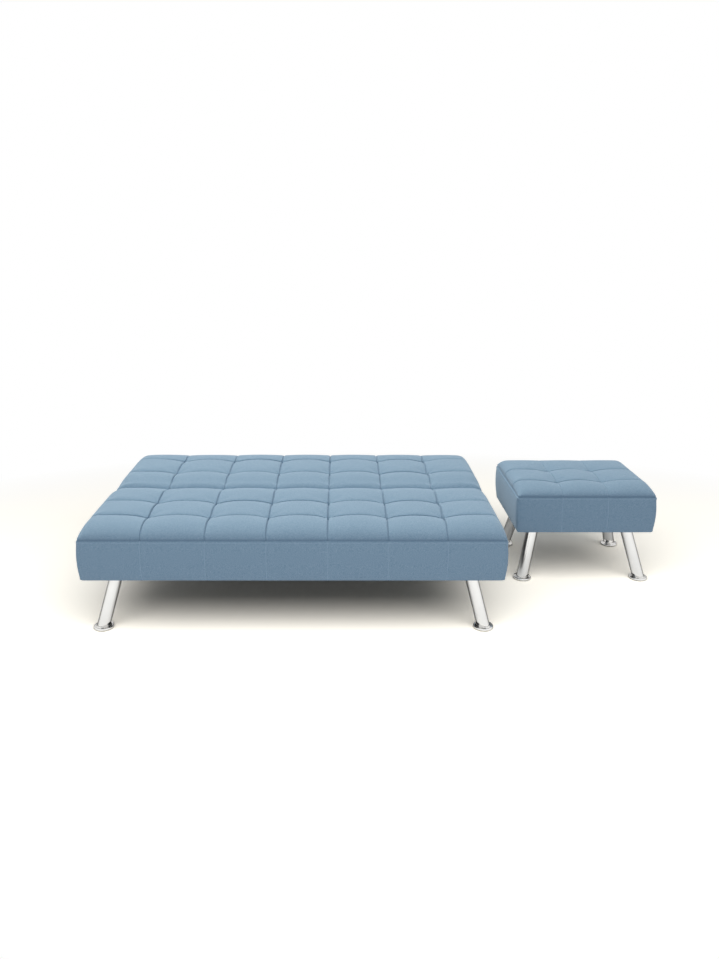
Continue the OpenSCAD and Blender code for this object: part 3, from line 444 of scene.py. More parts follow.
def shape_skin(skin, low, high, columns, rows, fold_at, column_pull, sewn_rise, puff, rolls):
    """Moves the flat pattern to the form that the wadding gives it."""
    flat = read_points(skin)
    x, y, depth = flat[:, 0], flat[:, 1], -flat[:, 2]
    middle = (low + high) / 2
    half = (high - low) / 2
    from_side = half.x - np.abs(x - middle.x)
    edge = rolled(from_side / rolls[0])
    calm = 1.0
    drop = 0.0
    for gap, place, roll in ((y - low.y, "front", rolls[1]), (high.y - y, "rear", rolls[2])):
        if place == fold_at:
            drop = drop + fold_radius * (1 - rolled(gap / fold_radius))
            calm = calm_least + (1 - calm_least) * eased((gap - fold_radius) / calm_width)
            calm = calm * rolled(gap / fold_radius)
        else:
            edge = edge * rolled(gap / roll)
    across, column = dome(x, columns)
    along, row = dome(y, rows)
    beside = 1 - column_pull * (1 - rolled(from_seam(x, columns) / column_shoulder))
    shoulder = beside * rolled(from_seam(y, rows) / row_shoulder)
    tuft_rows = {"front": [rows[0]] + rows, "rear": rows + [rows[-1]]}.get(fold_at, rows)
    from_tuft = np.hypot(from_seam(x, columns), from_seam(y, tuft_rows))
    draw = np.random.default_rng(len(columns) + len(rows))
    stuffed = draw.normal(1, stuffing_spread, stuffing_table)[column, row]
    lift = puff * rolled(from_tuft / tuft_reach)
    lift = lift + stuffed * (shoulder_rise * shoulder + crown_rise * across * along)
    z = high.z + edge * (sewn_rise - drop + calm * lift) - depth
    radius = np.full(len(x), corner_radius)
    if fold_at:
        radius[(y < middle.y) == (fold_at == "front")] = fold_corner_radius
    p = np.clip((np.abs(x - middle.x) - half.x + radius) / radius, 0, 1)
    q = np.clip((np.abs(y - middle.y) - half.y + radius) / radius, 0, 1)
    turned = p * q > 0
    x = np.where(turned, middle.x + np.sign(x - middle.x)
                 * (half.x - radius + radius * p * np.sqrt(1 - q * q / 2)), x)
    y = np.where(turned, middle.y + np.sign(y - middle.y)
                 * (half.y - radius + radius * q * np.sqrt(1 - p * p / 2)), y)
    share = depth / border_height
    under = np.clip((depth - border_height + hem_round) / hem_round, 0, 1)
    inset = drawn_in * share ** drawn_in_curve - border_bulge * np.sin(np.pi * share)
    inset = inset + hem_round * (1 - np.sqrt(1 - under ** 2))
    x = middle.x + (x - middle.x) * (1 - inset / half.x)
    y = middle.y + (y - middle.y) * (1 - inset / half.y)
    write_points(skin, np.column_stack([x, y, z]))


def stuff(skin, low, high, columns, rows):
    """Cloth simulation: the sewn lines hold still while the wadding's pressure fills the fabric."""
    flat = cut_places(skin)
    on_top = flat[:, 2] > -touching
    on_side = np.minimum(np.abs(flat[:, 0] - low.x), np.abs(flat[:, 0] - high.x)) < touching
    on_end = np.minimum(np.abs(flat[:, 1] - low.y), np.abs(flat[:, 1] - high.y)) < touching
    sewn = (from_seam(flat[:, 0], columns) < touching) & (on_top | on_end)
    sewn |= (from_seam(flat[:, 1], rows) < touching) & on_top
    welt = (on_side | on_end) & (flat[:, 2] > -welt_lines[1][0] - touching)
    hem = flat[:, 2] < -border_height + touching
    pins = skin.vertex_groups.new(name="sewn")
    pins.add([int(k) for k in np.flatnonzero(sewn | hem | welt)], 1.0, "REPLACE")
    rest = read_points(skin)
    pick(skin)
    bpy.ops.object.modifier_add(type="CLOTH")
    cloth = skin.modifiers[-1]
    cloth.settings.quality = 6
    cloth.settings.vertex_group_mass = "sewn"
    cloth.settings.use_pressure = True
    cloth.settings.uniform_pressure_force = stuffing_pressure
    cloth.settings.effector_weights.gravity = 0
    cloth.collision_settings.use_collision = False
    scene = bpy.context.scene
    for step in range(1, cloth_frames + 1):
        scene.frame_set(step)
    graph = bpy.context.evaluated_depsgraph_get()
    blown = np.empty(len(rest) * 3)
    skin.evaluated_get(graph).data.vertices.foreach_get("co", blown)
    skin.modifiers.remove(cloth)
    scene.frame_set(1)
    moved = blown.reshape(-1, 3) - rest
    length = np.linalg.norm(moved, axis=1, keepdims=True)
    limit = np.where(on_top[:, None], pillow_swell, border_swell)
    write_points(skin, rest + moved * limit / np.hypot(limit, length))


def sew(skin, low, high, columns, rows, column_pull):
    """Pulls the finished surface in along its seams and at its tufts, as the thread does."""
    flat = cut_places(skin)
    normals = np.empty(len(flat) * 3, np.float32)
    skin.data.vertices.foreach_get("normal", normals)
    across, along, depth = from_seam(flat[:, 0], columns), from_seam(flat[:, 1], rows), -flat[:, 2]
    gap = rim_gap(flat, low, high)
    on_top = depth < touching
    on_end = ~on_top & (np.minimum(flat[:, 1] - low.y, high.y - flat[:, 1]) < touching)
    inwards = eased(gap / edge_row_depth)
    left = np.where(flat[:, 1] < (low.y + high.y) / 2, front_seam_left, rear_seam_left)
    column_held = column_pull * (left + (1 - left) * inwards)
    row_held = row_seam_left + (1 - row_seam_left) * inwards
    top_pull = seam_depth * np.maximum(column_held * bell(across, seam_width),
                                       row_held * bell(along, seam_width))
    top_pull += tuft_depth * bell(np.hypot(across, along), tuft_width)
    for beside, way in ((column_pull * across, flat[:, 1]), (along, flat[:, 0])):
        drift = pucker_drift[0] * np.sin(way / pucker_drift[1])
        gather = np.sin(2 * np.pi * way / pucker_pitch + drift)
        top_pull += pucker_depth * inwards * gather * bell(beside - pucker_reach, pucker_reach / 2)
    width, deep = border_seam
    border_pull = on_end * deep * bell(across, width)
    welt_pull = np.where(on_top, 0, -welt_stand * eased(depth / welt_slope)
                         * eased((welt_end - depth) / welt_slope))
    for place, width, deep in welt_lines:
        welt_pull = welt_pull + deep * bell(np.where(on_top, gap + place, depth - place), width)
    pull = np.where(on_top, top_pull, border_pull) + welt_pull
    # Paler thread on the border seams, and a painted highlight along the welt's second seam.
    thread = np.where(on_top, 0, on_end * bell(across, border_thread_width)
                      + bell(depth - welt_lines[1][0], welt_highlight_width))
    # Painted shade in the bottom of each top seam and along the welt seam.
    in_seam = np.maximum(column_held * bell(across, seam_shade_width),
                         row_held * bell(along, seam_shade_width))
    painted_seam_shade = np.maximum(welt_shade_share * bell(np.where(on_top, gap, depth), welt_shade_width),
                        seam_shade_share * on_top * in_seam)
    for mark, values in (("thread", thread), ("painted_seam_shade", painted_seam_shade)):
        layer = skin.data.attributes.new(mark, "FLOAT", "POINT")
        layer.data.foreach_set("value", values.astype(np.float32))
    write_points(skin, read_points(skin) - normals.reshape(-1, 3) * pull[:, None])


def turn_under(skin, low, high):
    """Closes the cover: the hem turned under the frame, and the wadding's inner faces."""
    middle = (low + high) / 2
    half = (high - low) / 2
    steps = ((turned_width + wadding, 0), (turned_width + wadding, lining), (wadding, lining),
             (wadding, room_height))
    pick(skin)
    for inset, rise in steps:
        before = len(skin.data.vertices)
        bpy.ops.object.mode_set(mode="EDIT")
        bpy.ops.mesh.select_mode(type="EDGE")
        bpy.ops.mesh.select_all(action="DESELECT")
        bpy.ops.mesh.select_non_manifold()
        bpy.ops.mesh.extrude_edges_move(TRANSFORM_OT_translate={"value": (0, 0, 0)})
        bpy.ops.object.mode_set(mode="OBJECT")
        points = read_points(skin)
        loop = points[before:]
        for axis in (0, 1):
            reach = half[axis] - inset
            wall = half[axis] - turned_width - wadding
            outwards = np.clip((loop[:, axis] - middle[axis]) / wall, -1, 1)
            moved = middle[axis] + np.sign(outwards) * reach
            kept = np.clip(loop[:, axis], middle[axis] - reach, middle[axis] + reach)
            loop[:, axis] = np.where(np.abs(outwards) > 1 - same_point, moved, kept)
        loop[:, 2] = low.z + rise
        write_points(skin, points)
    bpy.ops.object.mode_set(mode="EDIT")
    bpy.ops.mesh.select_all(action="DESELECT")
    bpy.ops.mesh.select_non_manifold()
    bpy.ops.mesh.edge_face_add()
    bpy.ops.mesh.select_all(action="SELECT")
    bpy.ops.mesh.remove_doubles(threshold=same_point)
    bpy.ops.mesh.normals_make_consistent(inside=False)
    bpy.ops.object.mode_set(mode="OBJECT")


def cut_out(piece, cutter):
    """Takes the cutter's room out of a piece."""
    pick(piece)
    bpy.ops.object.modifier_add(type="BOOLEAN")
    cut = piece.modifiers[-1]
    cut.operation, cut.solver, cut.object = "DIFFERENCE", "EXACT", cutter
    bpy.ops.object.modifier_apply(modifier=cut.name)


def tufted_cover(name, node, body, columns, rows, fold_at=None, column_pull=0.75,
                 sewn_rise=tuft_rise, puff=puff_rise, rolls=(side_roll, front_roll, rear_roll),
                 pockets=None):
    """One cover from flat pattern to closed cushion, standing for its CAD node."""
    low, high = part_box(node)
    welt = Vector((high.x, high.y, low.z + border_height))
    cover = tufted_skin(name, columns, rows, column_steps, row_steps, fold_at)
    lay_out(cover, (low + welt) / 2)
    shape_skin(cover, low, welt, columns, rows, fold_at, column_pull, sewn_rise, puff, rolls)
    stuff(cover, low, high, columns, rows)
    pick(cover)
    bpy.ops.object.modifier_add(type="SUBSURF")
    bpy.ops.object.modifier_apply(modifier=cover.modifiers[-1].name)
    sew(cover, low, high, columns, rows, column_pull)
    turn_under(cover, low, high)
    if pockets:
        cut_out(cover, pockets)
    bpy.ops.object.shade_smooth()
    cover.data.materials.append(fabric)
    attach(cover, body)
    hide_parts(node)


def sewn_columns(a, b, sewn_off):
    """Even columns from a to b, each moved by what the sewing is off."""
    count = len(sewn_off) - 1
    return [a + (b - a) * k / count + off for k, off in enumerate(sewn_off)]


low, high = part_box("seat_cover")
sofa_sewn_off = (0, 0.009, 0.020, 0.0185, 0.0185, 0.015, 0.005, 0)
sofa_columns = sewn_columns(low.x, high.x, sofa_sewn_off)
seat_second_row = 0.333
seat_rows = [low.y, low.y + edge_row_depth, low.y + seat_second_row, high.y]
tufted_cover("seat_cushion", "seat_cover", "base", sofa_columns, seat_rows, "rear")

# Back cover: sewn like the seat's and on the same columns, its rolled front edge against the
# seat's rolled rear one. Beneath, each end has a sewn-in pocket that leaves the hinge room.
def box_between(low, high):
    """A plain block, only used to cut with or to be worked further."""
    deselect()
    bpy.ops.mesh.primitive_cube_add(size=1, location=(Vector(low) + Vector(high)) / 2)
    block = bpy.context.object
    block.scale = Vector(high) - Vector(low)
    bpy.ops.object.transform_apply(location=True, rotation=True, scale=True)
    return block


sofa_middle = (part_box("seat_cover")[0].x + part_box("seat_cover")[1].x) / 2
pivot = (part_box("pivot_bolt_right")[0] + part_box("pivot_bolt_right")[1]) / 2
pocket_reach = (0.655, 0.6972)
pocket_front, pocket_depth, pocket_foot = 0.040, 0.100, 0.100
pocket_hub = 0.021
ratchet_room = (0.015, 0.073, 0.014)
ratchet_overlap = 0.010


def hinge_pockets():
    """One cutter for both hinges: the room below the pivot, round its hub and over the ratchet."""
    inner, outer = (sofa_middle + reach for reach in pocket_reach)
    cutter = box_between((inner, pivot.y - pocket_front, pocket_foot),
                         (outer, pivot.y + pocket_depth, pivot.z))
    over = box_between((inner, pivot.y + ratchet_room[0], pivot.z - ratchet_overlap),
                       (outer, pivot.y + ratchet_room[1], pivot.z + ratchet_room[2]))
    deselect()
    bpy.ops.mesh.primitive_cylinder_add(
        vertices=48, radius=pocket_hub, depth=outer - inner, rotation=(0, math.pi / 2, 0),
        location=((inner + outer) / 2, pivot.y, pivot.z))
    hub = bpy.context.object
    bpy.ops.object.transform_apply(location=True, rotation=True, scale=True)
    for part in (over, hub):
        pick(cutter)
        bpy.ops.object.modifier_add(type="BOOLEAN")
        cutter.modifiers[-1].operation = "UNION"
        cutter.modifiers[-1].object = part
        bpy.ops.object.modifier_apply(modifier=cutter.modifiers[-1].name)
        bpy.data.objects.remove(part)
    pick(cutter)
    bpy.ops.object.mode_set(mode="EDIT")
    bpy.ops.mesh.select_all(action="SELECT")
    bpy.ops.mesh.duplicate()
    bpy.ops.transform.resize(value=(-1, 1, 1), center_override=(sofa_middle, 0, 0))
    bpy.ops.mesh.flip_normals()
    bpy.ops.object.mode_set(mode="OBJECT")
    return cutter


pockets = hinge_pockets()
low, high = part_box("back_cover")
back_first_row, back_last_row = 0.186, 0.166
back_rows = [low.y, low.y + back_first_row, high.y - back_last_row, high.y]
tufted_cover("back_cushion", "back_cover", "back", sofa_columns, back_rows, "front",
             pockets=pockets)

# Footstool cover: the same fabric, sewn in three by three pillows. Its columns are only lightly
# drawn in, and its front row is the narrowest.
low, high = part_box("stool_cover")
stool_sewn_off = (0, -0.004, -0.008, 0)
stool_columns = sewn_columns(low.x, high.x, stool_sewn_off)
stool_first_row, stool_second_row = 0.122, 0.290
stool_rows = [low.y, low.y + stool_first_row, low.y + stool_second_row, high.y]
tufted_cover("stool_cushion", "stool_cover", "footstool", stool_columns, stool_rows,
             column_pull=0.3, sewn_rise=0.017, puff=0.021, rolls=(0.042, 0.130, 0.085))

# Legs: straight round steel tube, cut slanting at both ends and welded under a drilled plate.
# Tube and plate are polished and chromed together; the weld shows as a low bead all round.
cloud_from, cloud_to = 0.36, 0.64


def mottled(name, cloud_scale, tones, roughness, grain_scale, grain_height, **inputs):
    """A finish of one colour with faint clouds in its tint and gloss, over a fine grain."""
    material, tree, out = new_material(name)
    place = wire(tree, "ShaderNodeTexCoord").outputs["Object"]
    cloud = wire(tree, "ShaderNodeTexNoise", {
        "Vector": place, "Scale": cloud_scale, "Detail": 4.0}).outputs["Fac"]
    gloss = wire(tree, "ShaderNodeMapRange", {
        "Value": cloud, "From Min": cloud_from, "From Max": cloud_to,
        "To Min": roughness[0], "To Max": roughness[1]})
    grain = wire(tree, "ShaderNodeTexNoise", {
        "Vector": place, "Scale": grain_scale, "Detail": 2.0}).outputs["Fac"]
    bump = wire(tree, "ShaderNodeBump", {
        "Height": grain, "Strength": 0.5, "Distance": grain_height})
    surface(tree, out, {
        "Base Color": toned(tree, cloud, ((cloud_from, tones[0]), (cloud_to, tones[1]))),
        "Roughness": gloss.outputs[0], "Normal": bump.outputs[0],
        **{key.replace("_", " "): value for key, value in inputs.items()}})
    return material


def edges_broken(piece, width, sharp=40):
    """Rounds the sharp edges a little and shades the rest smooth."""
    pick(piece)
    bpy.ops.object.modifier_add(type="BEVEL")
    bevel = piece.modifiers[-1]
    bevel.width, bevel.segments = width, 2
    bevel.limit_method, bevel.angle_limit = "ANGLE", math.radians(sharp)
    bpy.ops.object.modifier_apply(modifier=bevel.name)
    bpy.ops.object.shade_smooth_by_angle(angle=math.radians(sharp))


def set_down(piece, node, material):
    """Gives a piece its finish and lets it stand for its CAD node, on that node's body."""
    piece.data.materials.clear()
    piece.data.materials.append(material)
    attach(piece, frame["nodes"][node]["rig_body"])
    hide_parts(node)


def merged_copy(node, name, flat=0.5):
    """The node's own shape as one closed mesh with flat faces whole again."""
    piece = bpy.data.objects.new(name, frame["nodes"][node].data.copy())
    piece.data.name = name
    bpy.context.scene.collection.objects.link(piece)
    pick(piece)
    bpy.ops.object.mode_set(mode="EDIT")
    bpy.ops.mesh.select_all(action="SELECT")
    bpy.ops.mesh.remove_doubles(threshold=same_point)
    bpy.ops.mesh.dissolve_limited(angle_limit=math.radians(flat))
    bpy.ops.object.mode_set(mode="OBJECT")
    return piece


chrome = mottled("polished chrome", cloud_scale=14,
                 tones=((0.85, 0.84, 0.82), (0.90, 0.89, 0.87)), roughness=(0.04, 0.08),
                 grain_scale=60, grain_height=0.00002,
                 Metallic=1.0, Specular_Tint=(0.02, 0.02, 0.02, 1))
leg_radius = 0.0254
leg_plate = 0.003
leg_splay = math.tan(math.radians(14))
leg_stretch = 1 / math.cos(math.atan(math.sqrt(2) * leg_splay))
bead_radius = 0.0024
foot_top = 0.012


def weld_bead(x, y, z, turn):
    """The bead lies on the slanting ellipse where the tube meets a level plate."""
    deselect()
    bpy.ops.mesh.primitive_torus_add(
        major_segments=64, minor_segments=10, major_radius=leg_radius, minor_radius=bead_radius,
        location=(x, y, z), rotation=(0, 0, turn))
    bead = bpy.context.object
    bead.scale.x = leg_stretch
    bpy.ops.object.transform_apply(location=True, rotation=True, scale=True)
    return bead


def foot_middle(leg_node):
    """Where on the floor the middle of this leg's foot stands."""
    low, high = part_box(leg_node.replace("leg", "foot"))
    return (low.x + high.x) / 2, (low.y + high.y) / 2


corners = ("front_left", "front_right", "rear_left", "rear_right")
legs = ["leg_" + corner for corner in corners] + ["stool_leg_" + corner for corner in corners]
for node in legs:
    foot_x, foot_y = foot_middle(node)
    plate_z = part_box(node)[1].z - leg_plate
    out_x = -1 if "left" in node else 1
    out_y = -1 if "front" in node else 1
    leg = merged_copy(node, node + "_chromed")
    edges_broken(leg, width=0.0005)
    shift = leg_splay * (plate_z - foot_top)
    turn = math.atan2(-out_y, -out_x)
    beads = [weld_bead(foot_x - out_x * shift, foot_y - out_y * shift, plate_z, turn),
             weld_bead(foot_x, foot_y, foot_top, turn)]
    for bead in beads:
        pick(bead)
        bpy.ops.object.shade_smooth()
        leg.select_set(True)
        bpy.context.view_layer.objects.active = leg
        bpy.ops.object.join()
    set_down(leg, node, chrome)

# Feet: turned steel flanges, dished round the weld, with a rolled rim, chromed with the legs.
foot_profile = ((0.0386, 0.0030), (0.0394, 0.0034), (0.0399, 0.0046), (0.0400, 0.0064),
                (0.0398, 0.0082), (0.0391, 0.0098), (0.0378, 0.0109), (0.0362, 0.0111),
                (0.0345, 0.0105), (0.0326, 0.0103), (0.0312, 0.0107), (0.0302, 0.0115),
                (0.0290, foot_top))


def turned(name, profile, sharp=50):
    """A turned piece, drawn up ring by ring from its lowest disc: each step is (radius, height)."""
    radius, height = profile[0]
    deselect()
    bpy.ops.mesh.primitive_circle_add(
        vertices=72, radius=radius, fill_type="NGON", location=(0, 0, height))
    piece = bpy.context.object
    piece.name = piece.data.name = name
    bpy.ops.object.transform_apply(location=True, rotation=True, scale=True)
    bpy.ops.object.mode_set(mode="EDIT")
    bpy.ops.mesh.select_all(action="SELECT")
    for (radius, height), (next_radius, next_height) in zip(profile, profile[1:]):
        share = next_radius / radius
        bpy.ops.mesh.extrude_region_move(
            TRANSFORM_OT_translate={"value": (0, 0, next_height - height)})
        bpy.ops.transform.resize(value=(share, share, 1), center_override=(0, 0, next_height))
    bpy.ops.mesh.select_all(action="SELECT")
    bpy.ops.mesh.normals_make_consistent(inside=False)
    bpy.ops.object.mode_set(mode="OBJECT")
    bpy.ops.object.shade_smooth_by_angle(angle=math.radians(sharp))
    return piece


flange = turned("flange", foot_profile)
for leg_node in legs:
    node = leg_node.replace("leg", "foot")
    foot = flange.copy()
    foot.data = flange.data.copy()
    foot.name = foot.data.name = node + "_chromed"
    bpy.context.scene.collection.objects.link(foot)
    foot.location = (*foot_middle(leg_node), 0)
    pick(foot)
    bpy.ops.object.transform_apply(location=True, rotation=True, scale=True)
    set_down(foot, node, chrome)
bpy.data.objects.remove(flange)

# Base and hinge plates: rectangular steel tube, sawn and welded, and plate cut by laser. All of it
# is powder coated black, with the slight orange peel of such a coat.
powder_coat = mottled("black powder coat", cloud_scale=30,
                      tones=((0.016, 0.016, 0.018), (0.026, 0.026, 0.028)),
                      roughness=(0.38, 0.50), grain_scale=1400, grain_height=0.0004)
for node in ("base_rail_left", "base_rail_right", "base_cross_front", "base_cross_rear",
             "ratchet_plate_left", "ratchet_plate_right", "hinge_arm_left", "hinge_arm_right"):
    piece = merged_copy(node, node + "_coated")
    edges_broken(piece, width=0.0008)
    set_down(piece, node, powder_coat)

# Fasteners and pawls: stamped, turned and coiled steel, zinc plated after forming. The plate is
# a little cloudy, yellower where it is thick.
zinc_plate = mottled("zinc plate", cloud_scale=90,
                     tones=((0.55, 0.57, 0.58), (0.70, 0.69, 0.64)),
                     roughness=(0.24, 0.40), grain_scale=900, grain_height=0.0001, Metallic=1.0)
for node in ("base_bolts", "leg_screws", "pivot_bolt_left", "pivot_bolt_right", "hinge_washers",
             "arm_bolts", "pawl_left", "pawl_right", "pawl_pins", "pawl_springs", "stool_screws"):
    piece = merged_copy(node, node + "_plated")
    edges_broken(piece, width=0.00025)
    set_down(piece, node, zinc_plate)

# Plugs and spacers: black plastic, injection moulded with a fine grain, and pressed into place.
# Glides and stop pads: black rubber, cut from sheet and stuck on.
moulded = mottled("moulded black plastic", cloud_scale=60,
                  tones=((0.020, 0.020, 0.021), (0.030, 0.030, 0.031)),
                  roughness=(0.42, 0.55), grain_scale=1600, grain_height=0.0002)
rubber = mottled("cut black rubber", cloud_scale=45,
                 tones=((0.014, 0.014, 0.014), (0.030, 0.029, 0.028)),
                 roughness=(0.75, 0.95), grain_scale=700, grain_height=0.0005)
for node, material, slot in (("base_end_caps", moulded, "plastic"),
                             ("seat_spacers", moulded, "plastic"),
                             ("sofa_glides", rubber, "rubber"),
                             ("stool_glides", rubber, "rubber"),
                             ("back_stop_pads", rubber, "rubber")):
    piece = merged_copy(node, node + "_moulded")
    edges_broken(piece, width=0.0006)
    set_down(piece, node, material)

# Frames: planed pine boards, butted and glued into a ring, with corner boards over the leg plates.
# The grain runs along each board, so every face is laid out by the board that it belongs to.
board_thickness = 0.022
board_gap = 0.0003
ring_stretch = (0.9, 26, 0)
fibre_stretch = (30, 1500, 0)
board_steps_per_metre = 40
board_offset = (0.37, 0.11)
board_edge = 1e-4


def timber_material():
    material, tree, out = new_material("planed pine")
    grain = wire(tree, "ShaderNodeUVMap", uv_map="grain").outputs["UV"]
    drawn = wire(tree, "ShaderNodeVectorMath", {0: grain, 1: ring_stretch}, operation="MULTIPLY")
    wander = wire(tree, "ShaderNodeTexNoise", {
        "Vector": drawn.outputs[0], "Scale": 1.6, "Detail": 3.0})
    rings = wire(tree, "ShaderNodeTexWave", {
        "Vector": drawn.outputs[0], "Scale": 2.4, "Distortion": 5.0, "Detail": 3.0,
        "Detail Scale": 0.8}, bands_direction="Y")
    fibre = wire(tree, "ShaderNodeVectorMath", {0: grain, 1: fibre_stretch}, operation="MULTIPLY")
    fibres = wire(tree, "ShaderNodeTexNoise", {
        "Vector": fibre.outputs[0], "Scale": 1.0, "Detail": 3.0})
    mixed = maths(tree, "MULTIPLY", rings.outputs["Fac"], wander.outputs["Fac"])
    tone = toned(tree, mixed, ((0.05, (0.64, 0.43, 0.22)), (0.60, (0.76, 0.59, 0.37))))
    bump = wire(tree, "ShaderNodeBump", {
        "Height": fibres.outputs["Fac"], "Strength": 0.4, "Distance": 0.0003})
    surface(tree, out, {"Base Color": tone, "Roughness": 0.62, "Normal": bump.outputs[0]})
    return material


def lay_boards(piece, cross_boards):
    """Grain map in metres: u along the board, v across it, each board cut from another stretch."""
    mesh = piece.data
    points = read_points(piece)
    layer = mesh.uv_layers.new(name="grain")
    flat = np.empty((len(mesh.loops), 2), np.float32)
    for face in mesh.polygons:
        middle = face.center
        along_x = any(a - board_edge <= middle.y <= b + board_edge for a, b in cross_boards)
        board = round((middle.y if along_x else middle.x) * board_steps_per_metre)
        for corner in face.loop_indices:
            x, y, z = points[mesh.loops[corner].vertex_index]
            along, over = (x, y) if along_x else (y, x)
            flat[corner] = (along + board_offset[0] * board, over + z + board_offset[1] * board)
    layer.data.foreach_set("uv", flat.ravel())


timber = timber_material()
hinge_board_front = pivot.y + pocket_depth + board_gap
hinge_board = (hinge_board_front, hinge_board_front + board_thickness)
for node, more_boards in (("seat_frame", ()), ("back_frame", (hinge_board,)), ("stool_frame", ())):
    low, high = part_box(node)
    boards = ((low.y, low.y + board_thickness), (high.y - board_thickness, high.y)) + more_boards
    piece = merged_copy(node, node + "_boards")
    bpy.ops.object.mode_set(mode="EDIT")
    for a, b in boards:
        for y in (a, b):
            bpy.ops.mesh.select_all(action="SELECT")
            bpy.ops.mesh.bisect(plane_co=(0, y, 0), plane_no=(0, 1, 0))
    bpy.ops.object.mode_set(mode="OBJECT")
    edges_broken(piece, width=0.0012)
    lay_boards(piece, boards)
    set_down(piece, node, timber)

# Foam: a slab of cream polyether foam on each frame, cut from the block so that its open cells
# show, with its edges trimmed round.
foam = mottled("cream foam", cloud_scale=6, tones=((0.78, 0.72, 0.55), (0.86, 0.81, 0.66)),
               roughness=(0.9, 1.0), grain_scale=1100, grain_height=0.0012)
for node in ("seat_foam", "back_foam", "stool_foam"):
    piece = merged_copy(node, node + "_slab")
    edges_broken(piece, width=0.006)
    set_down(piece, node, foam)

# Webbing: elastic straps 50 mm wide, stretched over each frame and stapled to it. The straps from
# side to side lie on the others. Ribs run over each strap and two pale threads along it.
strap_thickness = 0.0015
rib_pitch = 0.0022
pale_thread_place, pale_thread_half_width = 0.0165, 0.0016


def webbing_material():
    material, tree, out = new_material("ribbed elastic strap")
    flat = wire(tree, "ShaderNodeUVMap", uv_map="strap").outputs["UV"]
    strap = wire(tree, "ShaderNodeSeparateXYZ", {0: flat})
    rib = maths(tree, "SINE", maths(tree, "MULTIPLY", strap.outputs["Y"], 2 * math.pi / rib_pitch))
    aside = maths(tree, "ABSOLUTE", strap.outputs["X"])
    pale = maths(tree, "COMPARE", aside, pale_thread_place, pale_thread_half_width)
    tone = wire(tree, "ShaderNodeMix", {
        0: pale, "A": (0.020, 0.020, 0.022, 1), "B": (0.30, 0.29, 0.27, 1)}, data_type="RGBA")
    bump = wire(tree, "ShaderNodeBump", {"Height": rib, "Strength": 0.6, "Distance": 0.0003})
    surface(tree, out, {
        "Base Color": tone.outputs["Result"], "Roughness": 0.8, "Normal": bump.outputs[0]})
    return material


def lay_straps(piece, middles_x, middles_y, split_z):
    """Strap map in metres: u from the strap's middle, v along it."""
    mesh = piece.data
    points = read_points(piece)
    corners = np.empty(len(mesh.loops), int)
    mesh.loops.foreach_get("vertex_index", corners)
    heights = np.repeat([face.center.z for face in mesh.polygons],
                        [face.loop_total for face in mesh.polygons])
    at = points[corners]
    across = heights > split_z
    aside_x = at[:, 0] - middles_x[np.abs(at[:, [0]] - middles_x).argmin(axis=1)]
    aside_y = at[:, 1] - middles_y[np.abs(at[:, [1]] - middles_y).argmin(axis=1)]
    u = np.where(across, aside_y, aside_x)
    v = np.where(across, at[:, 0], at[:, 1])
    layer = mesh.uv_layers.new(name="strap")
    layer.data.foreach_set("uv", np.column_stack([u, v]).astype(np.float32).ravel())


webbing = webbing_material()
for node, straps in (("seat_webbing", 11), ("back_webbing", 11), ("stool_webbing", 4)):
    low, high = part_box(node)
    piece = merged_copy(node, node + "_straps")
    edges_broken(piece, width=0.0003)
    reach = (high.x - low.x) / 2 - board_thickness + board_gap
    middles_x = (low.x + high.x) / 2 + reach * (2 * (np.arange(straps) + 0.5) / straps - 1)
    middles_y = low.y + (high.y - low.y) * np.arange(1, 4) / 4
    lay_straps(piece, middles_x, middles_y, low.z + strap_thickness)
    set_down(piece, node, webbing)

# Dust covers: thin black non-woven cloth, stapled under each section over the turned-in fabric.
# It hangs a little between its staples and whatever presses it up.
def dust_cloth_material():
    material, tree, out = new_material("black non-woven cloth")
    place = wire(tree, "ShaderNodeTexCoord").outputs["Object"]
    dots = wire(tree, "ShaderNodeTexVoronoi", {"Vector": place, "Scale": 420.0})
    fibres = wire(tree, "ShaderNodeTexNoise", {
        "Vector": place, "Scale": 160.0, "Detail": 4.0, "Distortion": 1.5})
    tone = toned(tree, fibres.outputs["Fac"], ((0.35, (0.012, 0.012, 0.012)),
                                               (0.65, (0.030, 0.030, 0.032))))
    bump = wire(tree, "ShaderNodeBump", {
        "Height": dots.outputs["Distance"], "Strength": 0.5, "Distance": 0.0004})
    surface(tree, out, {"Base Color": tone, "Roughness": 0.9, "Normal": bump.outputs[0]})
    return material


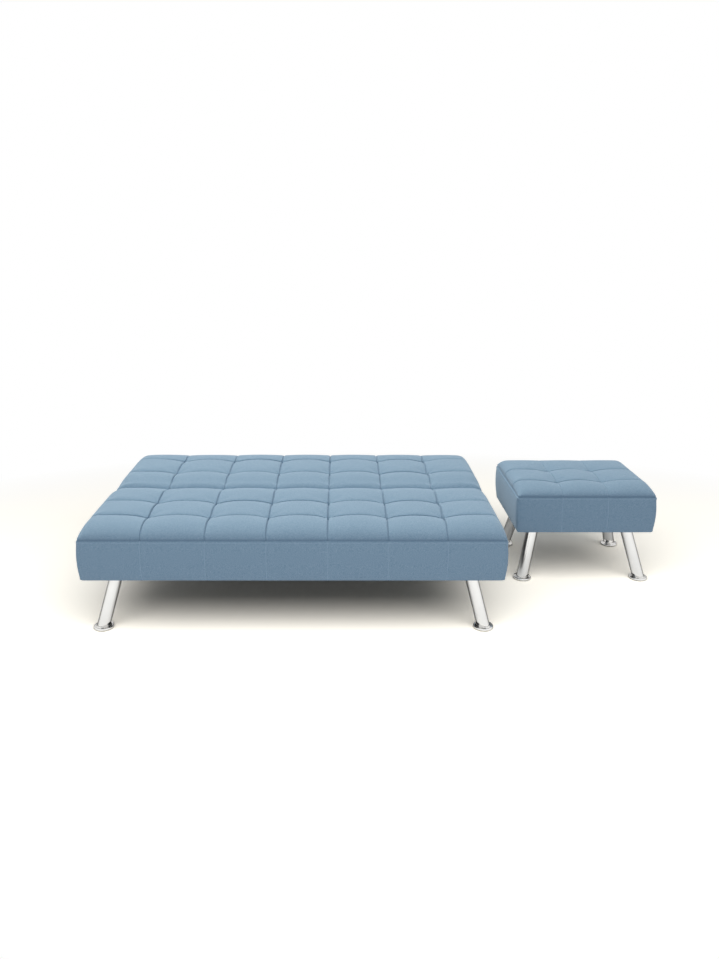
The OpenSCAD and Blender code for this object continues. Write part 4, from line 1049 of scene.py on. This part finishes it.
dust_cloth = dust_cloth_material()
cloth_step = 0.018
cloth_sag = 0.0028
cloth_sharp = 40
sag_reach = 0.060
staple_pitch = 0.062
staple_inset = 0.009
staple_wide, staple_wire = 0.011, 0.0008
staple_sunk = 0.6
first_staple, last_staple = 0.03, 0.02
staple_free = 0.035
pressed = {"seat": ("leg_front_left", "leg_front_right", "base_rail_left", "base_rail_right"),
           "back": ("back_stop_pads", "base_rail_left", "base_rail_right"),
           "stool": ("stool_leg_front_left", "stool_leg_front_right", "stool_leg_rear_left",
                     "stool_leg_rear_right")}
for section, body in (("seat", "base"), ("back", "back"), ("stool", "footstool")):
    node = section + "_dust_cover"
    low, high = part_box(node)
    wide, deep = high.x - low.x, high.y - low.y
    deselect()
    bpy.ops.mesh.primitive_grid_add(
        x_subdivisions=round(wide / cloth_step), y_subdivisions=round(deep / cloth_step),
        size=1, location=((low.x + high.x) / 2, (low.y + high.y) / 2, high.z))
    cloth = bpy.context.object
    cloth.name = cloth.data.name = node + "_cloth"
    cloth.scale = (wide, deep, 1)
    bpy.ops.object.transform_apply(location=True, rotation=True, scale=True)
    points = read_points(cloth)
    free = rim_gap(points, low, high)
    for presser in pressed[section]:
        a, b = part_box(presser)
        off_x = np.maximum(np.maximum(a.x - points[:, 0], points[:, 0] - b.x), 0)
        off_y = np.maximum(np.maximum(a.y - points[:, 1], points[:, 1] - b.y), 0)
        free = np.minimum(free, np.hypot(off_x, off_y))
    points[:, 2] -= cloth_sag * eased((free - cloth_step) / sag_reach)
    write_points(cloth, points)
    bpy.ops.object.modifier_add(type="SOLIDIFY")
    cloth.modifiers[-1].thickness = high.z - low.z
    cloth.modifiers[-1].offset = -1
    bpy.ops.object.modifier_apply(modifier=cloth.modifiers[-1].name)
    if section == "back":
        cut_out(cloth, pockets)
    bpy.ops.object.shade_smooth_by_angle(angle=math.radians(cloth_sharp))
    set_down(cloth, node, dust_cloth)

    spots = [(x, y, staple_wide / 2, staple_wire / 2)
             for x in np.arange(low.x + first_staple, high.x - last_staple, staple_pitch)
             for y in (low.y + staple_inset, high.y - staple_inset)]
    spots += [(x, y, staple_wire / 2, staple_wide / 2)
              for y in np.arange(low.y + first_staple, high.y - last_staple, staple_pitch)
              for x in (low.x + staple_inset, high.x - staple_inset)]
    staples = []
    for x, y, half_x, half_y in spots:
        off_pocket = abs(abs(x - sofa_middle) - sum(pocket_reach) / 2)
        if section == "back" and y < pivot.y and off_pocket < staple_free:
            continue
        staples.append(box_between((x - half_x, y - half_y, low.z - staple_wire * staple_sunk),
                                   (x + half_x, y + half_y, low.z + staple_wire)))
    deselect()
    for staple in staples:
        staple.select_set(True)
    bpy.context.view_layer.objects.active = staples[0]
    bpy.ops.object.join()
    row = bpy.context.object
    row.name = row.data.name = section + "_staples"
    edges_broken(row, width=0.0002)
    row.data.materials.append(zinc_plate)
    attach(row, body)
bpy.data.objects.remove(pockets)
